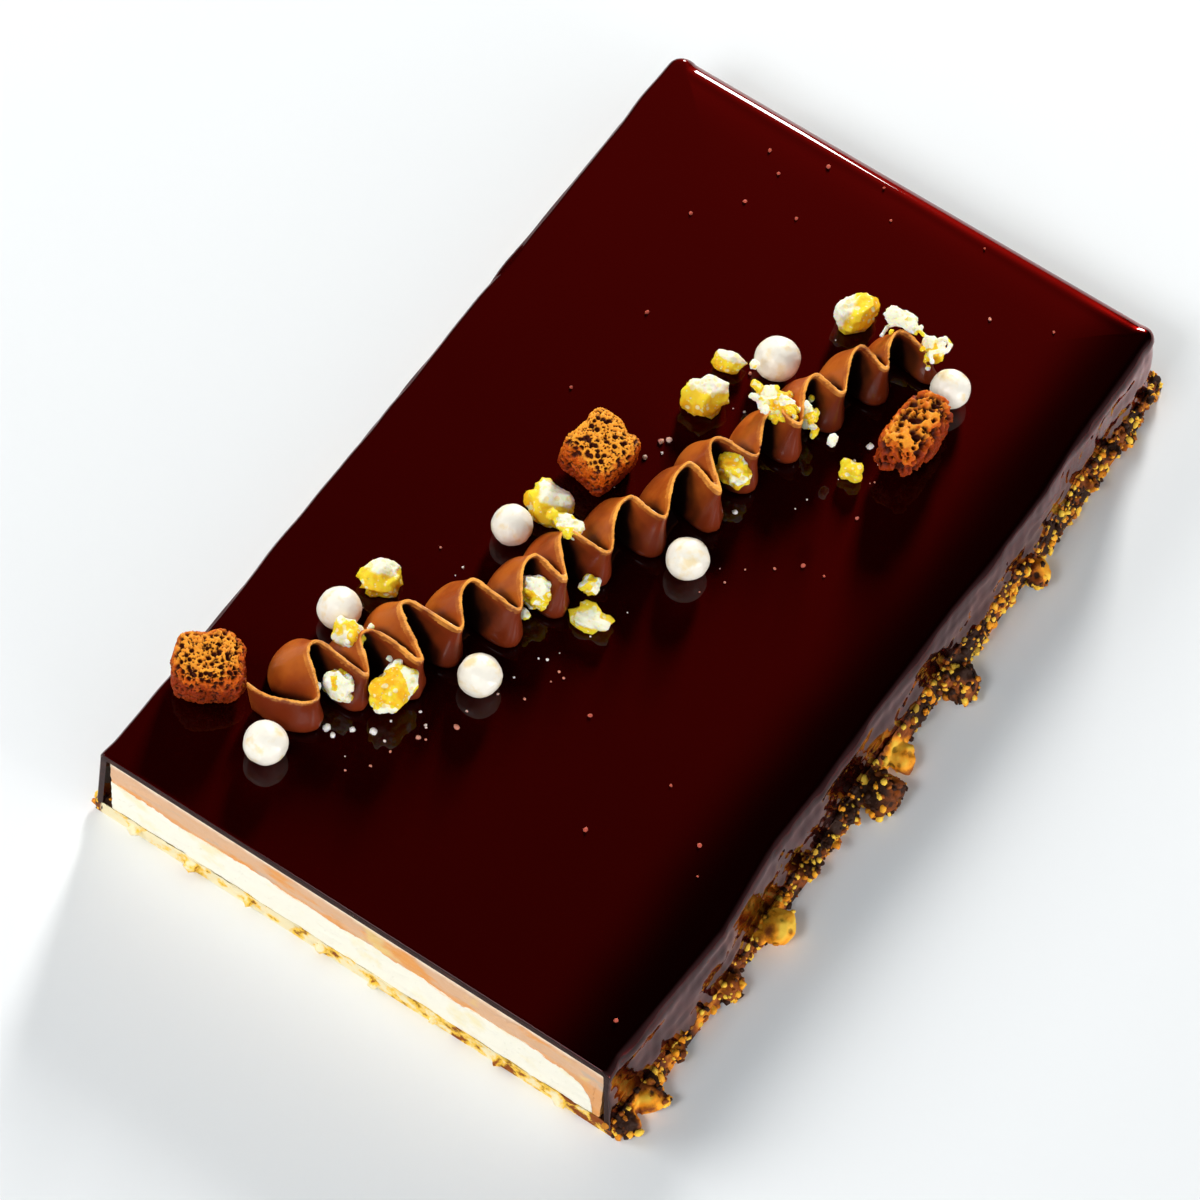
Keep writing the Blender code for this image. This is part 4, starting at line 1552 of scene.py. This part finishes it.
@dataclass
class Ruffle:
    """Milk chocolate ganache piped in close turns, with a thin lip along its crest."""

    line: RuffleLine
    height: float = 0.0075
    unevenness: Span = (0.90, 1.08)
    end_height: float = 0.60
    end_turns: float = 1.4
    lean: float = 0.0040
    turn_lean: float = 0.35
    wide_lean: float = 0.35
    foot_spread: float = 1.24
    foot_shift: float = -0.0011
    start_flare: float = 0.0019
    foot_radius: float = 0.0021
    hollow: float = 0.86
    hollow_curve: float = 0.7
    rim: float = 0.14
    flutter: float = 0.00032
    flutter_turns: float = 2.6
    arch: float = 1.35
    seed: int = 4
    # Height up the stroke and half-thickness there, as shares of its height and of foot_radius.
    teardrop: tuple[Span, ...] = (
        *((0.0, 0.66), (0.04, 0.84), (0.08, 0.94), (0.15, 0.99), (0.22, 1.0), (0.32, 0.90)),
        *((0.42, 0.76), (0.56, 0.54), (0.70, 0.34), (0.84, 0.19), (0.93, 0.13), (1.0, 0.07)),
    )
    lean_curve: float = 1.4
    turn_step: float = 0.002
    stations_a_turn: int = 36
    voxel: float = 0.00026
    smoothings: int = 2
    # Where the lip's painted highlight starts up the stroke, and over what share of its height it
    # fades in.
    lip_from: float = 0.86
    lip_rise: float = 0.12
    # Rays that find the folds for their painted shade: rises in radians, rays at each rise, start
    # off the skin, reach, and rounds of evening out.
    look_up: tuple[float, ...] = (0.25, 0.75, 1.25)
    looks: int = 5
    look_start: float = 0.00025
    look_reach: float = 0.0060
    evening: int = 5

    def __post_init__(self) -> None:
        """Work out what the turns share."""
        rng = random.Random(self.seed)
        self.last = len(TURNS) - 1
        self.stations = [station for station, _ in TURNS]
        self.offsets = [offset for _, offset in TURNS]
        self.heights = [rng.uniform(*self.unevenness) for _ in TURNS]

    @staticmethod
    def between(values: Sequence[float], turn: float) -> float:
        """Value at a place between two turns, blended smoothly."""
        index = min(int(turn), len(values) - 2)
        share = eased(turn - index)
        return values[index] * (1 - share) + values[index + 1] * share

    def swung(self, turn: float) -> float:
        """Offset of the crest: wide and round at the far turns and tight at the near ones."""
        index = min(int(turn), self.last - 1)
        share = turn - index
        if index == 0:
            return self.offsets[1] + (self.offsets[0] - self.offsets[1]) * (1 - share) ** 2
        share = share**self.arch if index % 2 == 0 else 1 - (1 - share) ** self.arch
        return self.between(self.offsets, index + share)

    def flowing(self, turn: float) -> float:
        """Station of the crest, on a smooth curve through the turns."""
        index = min(int(turn), self.last - 1)
        share = turn - index
        near = (max(index - 1, 0), index, index + 1, min(index + 2, self.last))
        first, low, high, end = (self.stations[i] for i in near)
        bend = 2 * first - 5 * low + 4 * high - end
        twist = 3 * (low - high) + end - first
        return low + share / 2 * (high - first + share * (bend + share * twist))

    def at(self, turn: float) -> tuple[Vector, Vector]:
        """Foot and crest of the stroke at a place in turns."""
        end = min(1.0, turn / self.end_turns, (self.last - turn) / self.end_turns)
        height = self.height * self.between(self.heights, turn)
        height *= self.end_height + (1 - self.end_height) * end
        crest = self.flowing(turn)
        offset = self.swung(turn)
        stroke = (1 - math.cos(2 * math.pi * turn)) / 2
        stroke *= 1.0 if math.sin(math.pi * turn) < 0 else self.wide_lean
        lean = self.lean * (self.turn_lean + (1 - self.turn_lean) * stroke) * end
        spread = self.start_flare * (1 - end) ** 3 if turn < self.end_turns else 0.0
        spread += (self.foot_shift + (self.foot_spread - 1) * offset) * end
        foot = self.line.point(crest - lean, offset + spread)
        return foot, self.line.point(crest, offset, height)

    def section(self, turn: float) -> tuple[list[Vector], list[float]]:
        """The stroke's section.

        Args:
            turn: place in turns.

        Returns:
            Points round the section, and how far up each one is, from 0 to 1.
        """
        low, top = self.at(turn)
        before, _ = self.at(max(0.0, turn - self.turn_step))
        after, _ = self.at(min(self.last, turn + self.turn_step))
        travel = (after - before).normalized()
        across = Vector((travel.y, -travel.x, 0.0))
        half = across * self.foot_radius
        flutter = self.flutter * scattered(turn * self.flutter_turns, 0.7, 0.2)
        far = (1 + math.cos(math.pi * turn)) / 2
        inner = max(far, max(0.0, -math.sin(math.pi * turn)) ** self.hollow_curve)
        left = []
        right = []
        for rise, thickness in self.teardrop:
            middle = low.lerp(top, rise**self.lean_curve)
            middle.z = low.z + (top.z - low.z) * rise
            middle += across * flutter * rise
            rim = min(thickness, self.rim)
            bulge = thickness - rim
            left.append(middle - half * (rim + bulge * (1 - self.hollow * (1 - far))))
            right.append(middle + half * (rim + bulge * (1 - self.hollow * inner)))
        rises = [rise for rise, _ in self.teardrop]
        return left + right[::-1], rises + rises[::-1]

    def make(self, finish: Material) -> None:
        """Build the piece: the sweep, made one skin and marked for its material's painted lip
        highlight, fold shade and near-side shade.
        """
        count = self.last * self.stations_a_turn
        points = []
        rises = []
        for i in range(count + 1):
            section, rise = self.section(self.last * i / count)
            points += section
            rises += rise
        width = len(section)
        faces = [tuple(range(width)), tuple(range(count * width, (count + 1) * width))]
        for a in range(0, count * width, width):
            for j in range(width):
                k = (j + 1) % width
                faces.append((a + j, a + k, a + width + k, a + width + j))
        mesh = mesh_of("ganache_ruffle", np.array(points), faces)
        made = one_skin("ganache_ruffle", mesh, self.voxel, self.smoothings)
        self.mark_lip(made.data, points, rises)
        self.mark_folds(made.data)
        # How far each point faces the near side, for the ganache's painted shade there.
        aside = (self.line.point(0.0, 1.0) - self.line.point(0.0, 0.0)).normalized()
        near = [0.5 + 0.5 * vert.normal.dot(aside) for vert in made.data.vertices]
        carry(made.data, "near", near)
        join_piece(made, finish, Slot.GANACHE, "ganache_ribbon")

    def mark_lip(self, mesh: Mesh, points: Sequence[Vector], rises: Sequence[float]) -> None:
        """Carry how far into the lip each point is, for the painted highlight along it.

        Args:
            mesh: the skin.
            points: the sweep's points.
            rises: how far up the stroke each of them is.
        """
        tree = KDTree(len(points))
        for i, point in enumerate(points):
            tree.insert(point, i)
        tree.balance()
        found = (rises[tree.find(vert.co)[1]] for vert in mesh.vertices)
        carry(mesh, "lip", [eased((rise - self.lip_from) / self.lip_rise) for rise in found])

    def mark_folds(self, mesh: Mesh) -> None:
        """Carry the share of the ways out of each point that the ruffle's own folds block, which
        the ganache paints as shade.
        """
        faces = [list(polygon.vertices) for polygon in mesh.polygons]
        tree = BVHTree.FromPolygons([vert.co for vert in mesh.vertices], faces)
        ways = []
        for rise in self.look_up:
            for i in range(self.looks):
                turn = 2 * math.pi * (i + rise) / self.looks
                flat = math.cos(rise)
                ways.append(Vector((math.cos(turn) * flat, math.sin(turn) * flat, math.sin(rise))))
        shut = []
        for vert in mesh.vertices:
            start = vert.co + vert.normal * self.look_start
            hits = (tree.ray_cast(start, way, self.look_reach)[0] for way in ways)
            shut.append(sum(hit is not None for hit in hits) / len(ways))
        carry(mesh, "fold", self.evened(mesh, np.array(shut)))

    def evened(self, mesh: Mesh, values: np.ndarray) -> np.ndarray:
        """The points' numbers, each evened out with its neighbours'."""
        ends = np.empty(len(mesh.edges) * 2, np.int32)
        mesh.edges.foreach_get("vertices", ends)
        starts, ends = ends[0::2], ends[1::2]
        count = len(values)
        shares = 1.0 + np.bincount(starts, minlength=count) + np.bincount(ends, minlength=count)
        for _ in range(self.evening):
            total = values + np.bincount(starts, values[ends], count)
            values = (total + np.bincount(ends, values[starts], count)) / shares
        return values


@dataclass
class Flakes:
    """Broken honeycomb lodged in the ruffle's folds, and the sugar threads at its far end."""

    line: RuffleLine
    squareness: float = 2.4
    # Depth and fineness of each kind of dent.
    dents: tuple[Span, ...] = ((0.30, 1.7), (0.12, 4.0))
    cuts: int = 16
    grain_cuts: int = 4
    grain_sizes: Span = (0.0007, 0.0015)
    grain_form: Span = (0.7, 1.3)
    grain_spread: float = 0.42
    grain_rise: Span = (-0.1, 0.45)
    grain_white: Span = (0.3, 1.1)
    voxel: float = 0.00013
    foam: Foam = Foam(0.0013, 0.00026, 0.0013, 0.00016, 0.36, 0.00008, 4.0)
    white_swing: float = 0.7
    white_patch: float = 0.0017
    thread_radius: float = 0.00030
    thread_height: float = 0.0066
    thread_step: float = 0.0002
    thread_wave: Span = (0.0004, 0.002)
    thread_white: float = 0.95

    def lump(self, size: Place, place: Vector, seed: int, cuts: int) -> Mesh:
        """A rounded rough lump at a place.

        Args:
            size: its size along the three axes.
            place: its middle.
            seed: seed of its unevenness.
            cuts: cuts across each of its six sides.

        Returns:
            Its mesh.
        """
        bm = bmesh.new()
        bmesh.ops.create_cube(bm, size=2.0)
        bmesh.ops.subdivide_edges(bm, edges=bm.edges, cuts=cuts, use_grid_fill=True)
        rng = random.Random(seed)
        shift = Vector((rng.uniform(0, 9), rng.uniform(0, 9), rng.uniform(0, 9)))
        for vert in bm.verts:
            way = vert.co.normalized()
            reach = sum(abs(part) ** self.squareness for part in way) ** (-1 / self.squareness)
            reach *= 1 + dented(way, shift, self.dents)
            vert.co = place + Vector(part * reach * whole / 2 for part, whole in zip(way, size))
        return mesh_from("lump", bm)

    def flakes(self) -> list[tuple[Mesh, Vector, float]]:
        """Lumps and the grains by them, each with its place and how white it is."""
        made = []
        for station, offset, height, size, seed, white, grains in FLAKES:
            rng = random.Random(seed * 7)
            place = self.line.point(station, offset, height)
            made.append((self.lump(size, place, seed, self.cuts), place, white))
            for _ in range(grains):
                span = rng.uniform(*self.grain_sizes)
                flat = [rng.gauss(0, self.grain_spread) * whole for whole in size[:2]]
                away = Vector((*flat, rng.uniform(*self.grain_rise) * size[2]))
                wide = [span * rng.uniform(*self.grain_form) for _ in range(2)]
                form = (*wide, span)
                spot = place + away
                grain = self.lump(form, spot, rng.randrange(999), self.grain_cuts)
                made.append((grain, spot, rng.uniform(*self.grain_white)))
        return made

    def threads(self) -> list[tuple[Mesh, Vector, float]]:
        """Beads of the threads, each with its place and how white it is."""
        made = []
        form = (self.thread_radius * 2,) * 3
        level = self.line.level + self.thread_height
        for thread in THREADS:
            for start, end in zip(thread, thread[1:]):
                first = Vector((*start, level))
                last = Vector((*end, level))
                count = max(1, round((last - first).length / self.thread_step))
                for i in range(count):
                    spot = first.lerp(last, i / count)
                    spot.z += self.thread_wave[0] * noise.noise(spot / self.thread_wave[1])
                    made.append((self.lump(form, spot, 7, 2), spot, self.thread_white))
        return made

    def make(self, finish: Material, foam: FoamTree) -> None:
        """Build the piece of a material, with pores opened by the form tree."""
        parts = self.flakes() + self.threads()
        whole = bmesh.new()
        tree = KDTree(len(parts))
        for i, (part, place, _) in enumerate(parts):
            whole.from_mesh(part)
            tree.insert(place, i)
            bpy.data.meshes.remove(part)
        tree.balance()
        made = one_skin("golden_flakes", mesh_from("golden_flakes", whole), self.voxel)
        places = [vert.co for vert in made.data.vertices]
        white = np.array([parts[tree.find(place)[1]][2] for place in places])
        patch = np.array([noise.noise(place / self.white_patch) for place in places])
        carry(made.data, "rough", np.ones(len(places)))
        carry(made.data, "crown", white + self.white_swing * patch)
        foam.open(made, self.foam, finish)
        join_piece(made, finish, Slot.NUGGET, "ganache_ribbon")


# ---- Toppings ----------------------------------------------------------------------------

# Each honeycomb piece's foam, and how much browner it is baked.
HONEYCOMBS = (
    (Foam(0.0024, 0.00026, 0.00084, 0.00070, 0.58, 0.00016, 2.0), 0.13),
    (Foam(0.0024, 0.00026, 0.00090, 0.00062, 0.58, 0.00016, 3.0), -0.20),
    (Foam(0.0024, 0.00026, 0.0017, 0.00125, 0.66, 0.00016, 4.0), 0.20),
)
HONEYCOMB_VOXEL = 0.000125
# Which way each nugget's white side points, mostly up and towards the back light: partly the
# sugar's own white and partly painted light.
NUGGET_CROWNS = (
    *((-0.20, 0.60, 0.77), (0.20, 0.35, 0.85), (-0.20, 0.70, 0.70), (0.00, 0.60, 0.80)),
    *((-0.90, -0.30, 0.40), (0.00, 0.00, 0.30), (0.30, -0.50, 0.70)),
)
NUGGET_FOAM = Foam(0.0021, 0.00034, 0.0014, 0.00010, 0.36, 0.00008, 11.0)
NUGGET_VOXEL = 0.00012
PEARL_COUNT = 7


@dataclass
class FoamLump:
    """A lump of sugar foam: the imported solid's form with its pores opened."""

    node: str
    voxel: float
    foam: Foam
    crown: Place = (0.0, 0.0, 1.0)
    baked: float = 0.0
    foot: float = 0.0005

    def make(self, finish: Material, slot: Slot, tree: FoamTree) -> None:
        """Build the piece.

        Args:
            finish: its material.
            slot: the record's slot for it.
            tree: opens the pores.
        """
        mesh = mesh_from(self.node, copy_of(self.node))
        made = one_skin(f"{self.node}_foam", mesh, self.voxel)
        low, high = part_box(self.node)
        points = points_of(made.data)
        carry(made.data, "rough", np.clip((points[:, 2] - low.z) / self.foot, 0.0, 1.0))
        # The side that the crown points to gets the lighter colours: the honeycomb's top as painted
        # light, with painted shade below; the nuggets' side towards the back light as partly their
        # own white and partly painted light.
        spread = (points - np.array((low + high) / 2)) / np.array((high - low) / 2)
        carry(made.data, "crown", 0.5 - self.baked + 0.5 * spread @ np.array(self.crown))
        tree.open(made, self.foam, finish)
        join_piece(made, finish, slot, self.node)


@dataclass
class SugarPearl:
    """A crisp pearl, slightly uneven under its sugar shell."""

    node: str
    seed: int
    dent: float = 0.00007
    dents: tuple[Span, ...] = ((1.6, 1.6), (0.7, 4.2))

    def make(self, finish: Material) -> None:
        """Build the piece."""
        low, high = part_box(self.node)
        middle = (low + high) / 2
        half = (high - low) / 2
        bm = bmesh.new()
        bmesh.ops.create_icosphere(bm, subdivisions=5, radius=1.0)
        shift = Vector((self.seed * 3.1, 0.0, self.seed * 1.3))
        for vert in bm.verts:
            way = vert.co.normalized()
            dent = self.dent * dented(way, shift, self.dents)
            vert.co = middle + Vector(a * (b + dent) for a, b in zip(way, half))
        made = object_of(f"{self.node}_sugar", mesh_from(self.node, bm))
        join_piece(made, finish, Slot.PEARL, self.node)


@dataclass
class Specks:
    """Fine sugar dust and bits of foam on the glaze."""

    slab: Slab
    line: RuffleLine
    lift: float = 0.00016
    kinds: int = 5
    seed: int = 17
    dust: int = 60
    speck_sizes: Span = (0.45, 0.80)
    bit_sizes: Span = (0.80, 1.40)
    dust_sizes: Span = (0.20, 0.60)
    dust_stations: Span = (-0.056, 0.05)
    dust_offsets: Span = (0.0070, 0.0125)
    whiter: float = 0.013
    white: Span = (0.15, 0.75)
    specks: tuple[Span, ...] = (
        *((-0.0202, 0.0620), (-0.0171, 0.0595), (-0.0120, 0.0646), (-0.0037, 0.0662)),
        *((-0.0184, 0.0528), (-0.0235, 0.0467), (-0.0110, 0.0546), (0.0000, 0.0621)),
        *((0.0132, 0.0659), (0.0199, 0.0564), (-0.0195, 0.0295), (0.0283, 0.0598)),
        *((-0.0213, 0.0133), (-0.0216, -0.0179), (0.0091, -0.0275), (0.0180, -0.0419)),
        *((0.0236, -0.0300), (0.0315, -0.0352), (0.0338, -0.0391), (0.0365, -0.0625)),
        *((0.0199, 0.0082), (0.0231, 0.0085), (0.0219, 0.0187), (0.0170, 0.0056)),
    )
    bits: tuple[Span, ...] = (
        *((-0.0184, -0.0492), (-0.0171, -0.0497), (-0.0155, -0.0475), (-0.0130, -0.0461)),
        *((-0.0077, -0.0434), (-0.0044, -0.0392), (0.0078, 0.0098), (0.0173, 0.0293)),
        *((-0.0065, 0.0133), (-0.0057, 0.0141), (-0.0069, 0.0099)),
    )

    def spots(self) -> tuple[list[Place], list[float]]:
        """Places and sizes."""
        rng = random.Random(self.seed)
        places = [*self.specks, *self.bits]
        sizes = [rng.uniform(*self.speck_sizes) * MM for _ in self.specks]
        sizes += [rng.uniform(*self.bit_sizes) * MM for _ in self.bits]
        for _ in range(self.dust):
            side = rng.choice((-1.0, 1.0, 1.0))
            station = rng.uniform(*self.dust_stations)
            spot = self.line.point(station, side * rng.uniform(*self.dust_offsets))
            places.append((spot.x, spot.y))
            sizes.append(rng.uniform(*self.dust_sizes) * MM)
        level = self.slab.height + self.lift
        return [(x, y, level) for x, y in places], sizes

    def from_ruffle(self, points: np.ndarray) -> np.ndarray:
        """Distance of each point from the ruffle's line."""
        line = np.array([self.line.point(i * 0.002, 0.0) for i in range(-29, 25)])
        gaps = points[:, None, :2] - line[None, :, :2]
        return np.sqrt((gaps**2).sum(2)).min(1)

    def make(self, finish: Material, grains: SpeckTree) -> None:
        """Build the piece of a material, with the grains put in place by the form tree."""
        places, sizes = self.spots()
        mesh = bpy.data.meshes.new("sugar_specks")
        mesh.from_pydata(places, [], [])
        carry(mesh, "size", sizes)
        made = object_of("sugar_specks", mesh)
        grains.strew(made, self.kinds, self.seed, {"Material": finish})
        points = points_of(made.data)
        points[:, 2] = np.maximum(points[:, 2], self.slab.height + 8 * HAIR)
        move_points(made.data, points)
        near = np.exp(-((self.from_ruffle(points) / self.whiter) ** 4))
        carry(made.data, "crown", self.white[0] + self.white[1] * near)
        join_piece(made, finish, Slot.NUGGET)


# ---- Studio ------------------------------------------------------------------------------


@dataclass
class Studio:
    """The table, the soft lights and the camera."""

    azimuth: float = math.radians(28.0097)
    elevation: float = math.radians(60.9707)
    roll: float = math.radians(-6.5049)
    focal_pixels: float = 5522.7596
    image_pixels: float = 1200.0
    sensor: float = 36.0
    clip_start: float = 0.01
    distance: float = 0.7633486
    shift: Span = (-0.0054087, -0.0003617)
    # Name, place, size, power and colour.
    softboxes: tuple[tuple[str, Place, Span, float, Colour], ...] = (
        ("back_window", (-0.35, 1.04, 0.44), (0.17, 0.32), 15.2, (1.0, 0.985, 0.96)),
        ("left_soft", (-0.95, -0.42, 0.72), (0.60, 0.60), 7.2, (1.0, 0.99, 0.97)),
        ("front_high", (-0.12, -0.80, 0.98), (0.40, 0.30), 5.3, (0.97, 0.99, 1.02)),
        ("front_right", (1.05, -0.70, 0.34), (0.22, 0.46), 1.0, (1.0, 1.0, 1.0)),
        ("front_strip", (-0.27, -1.20, 0.22), (1.00, 0.12), 1.7, (1.0, 1.0, 1.0)),
        ("right_strip", (1.25, -0.07, 0.16), (0.14, 0.34), 8.0, (1.0, 0.96, 0.95)),
    )
    glow: float = 0.58
    dim: float = 0.005
    tint: Colour = (0.88, 0.97, 1.04)
    glow_side: Span = (0.83, -0.56)
    glow_edge: Span = (0.10, 0.60)
    table_reach: float = 2.5

    def camera(self) -> None:
        """Make the camera that the photograph was fitted with."""
        cos, sin = math.cos(self.elevation), math.sin(self.elevation)
        right = np.array([math.cos(self.azimuth), math.sin(self.azimuth), 0.0])
        back = np.array([right[1] * cos, -right[0] * cos, sin])
        axes = np.stack([right, np.cross(back, right), back])
        cos, sin = math.cos(self.roll), math.sin(self.roll)
        axes = np.array([[cos, -sin, 0.0], [sin, cos, 0.0], [0.0, 0.0, 1.0]]) @ axes
        data = bpy.data.cameras.new("camera")
        data.sensor_width = self.sensor
        data.lens = self.focal_pixels / self.image_pixels * self.sensor
        data.clip_start = self.clip_start
        made = object_of("camera", data)
        matrix = Matrix(axes.T.tolist()).to_4x4()
        matrix.translation = Vector(np.array([*self.shift, self.distance]) @ axes)
        made.matrix_world = matrix
        bpy.context.scene.camera = made

    def lights(self) -> None:
        """Make the softboxes, each facing the cake."""
        for name, place, size, power, colour in self.softboxes:
            data = bpy.data.lights.new(name, "AREA")
            data.shape = "RECTANGLE"
            data.size, data.size_y = size
            data.energy = power
            data.color = colour
            made = object_of(name, data)
            made.location = place
            made.rotation_euler = (-Vector(place)).to_track_quat("-Z", "Y").to_euler()

    def room(self) -> None:
        """Make the room: light towards the front and right, dark behind and to the left."""
        world = bpy.data.worlds.new("studio")
        bpy.context.scene.world = world
        world.use_nodes = True
        maker = NodeMaker(world.node_tree)
        way = {"Vector": maker.value("ShaderNodeTexCoord", output="Generated")}
        x, y = (maker.value("ShaderNodeSeparateXYZ", way, axis) for axis in "XY")
        side = x * self.glow_side[0] + y * self.glow_side[1]
        light = self.dim + (self.glow - self.dim) * side.step(*self.glow_edge)
        values = {"Color": (*self.tint, 1.0), "Strength": light}
        glow = maker.value("ShaderNodeBackground", values)
        maker.value("ShaderNodeOutputWorld", {"Surface": glow})

    def table(self, finish: Material) -> None:
        """Make the table top."""
        bm = bmesh.new()
        bmesh.ops.create_grid(bm, x_segments=4, y_segments=4, size=self.table_reach)
        mesh = mesh_from("table_top", bm)
        mesh.materials.append(finish)
        object_of("table_top", mesh)


def main() -> None:
    """Build the cake's looks piece by piece."""
    logging.basicConfig(level=logging.INFO, format="%(message)s")
    studio = Studio()
    studio.camera()
    slab = Slab()
    line = RuffleLine()
    foam = FoamTree("open_pores")
    side = GlazeFinish(name="side_glaze", level=0.10)
    GlazeCoat(slab).make(GlazeFinish().make(), CUT_GLAZE_FINISH.make(), side.make())
    Filling(slab).make(MOUSSE_FINISH.make(), CREAM_FINISH.make())
    BiscuitBase(slab).make(BiscuitFinish().make(), foam, GrainTree("strewn_grains"))
    Ruffle(line).make(GanacheFinish().make())
    nugget = NUGGET_FINISH.make()
    Flakes(line).make(nugget, foam)
    honeycomb = HONEYCOMB_FINISH.make()
    for i, (pores, baked) in enumerate(HONEYCOMBS, 1):
        lump = FoamLump(f"honeycomb_{i}", HONEYCOMB_VOXEL, pores, baked=baked)
        lump.make(honeycomb, Slot.HONEYCOMB, foam)
    for i, crown in enumerate(NUGGET_CROWNS, 1):
        pores = NUGGET_FOAM._replace(seed=NUGGET_FOAM.seed + i)
        lump = FoamLump(f"nugget_{i}", NUGGET_VOXEL, pores, crown)
        lump.make(nugget, Slot.NUGGET, foam)
    pearl = PEARL_FINISH.make()
    for i in range(1, PEARL_COUNT + 1):
        SugarPearl(f"pearl_{i}", i).make(pearl)
    Specks(slab, line).make(SPECK_FINISH.make(), SpeckTree("placed_grains"))
    studio.lights()
    studio.room()
    studio.table(TableFinish().make())
    bpy.context.scene.view_settings.view_transform = "Standard"


if __name__ == "__main__":
    main()
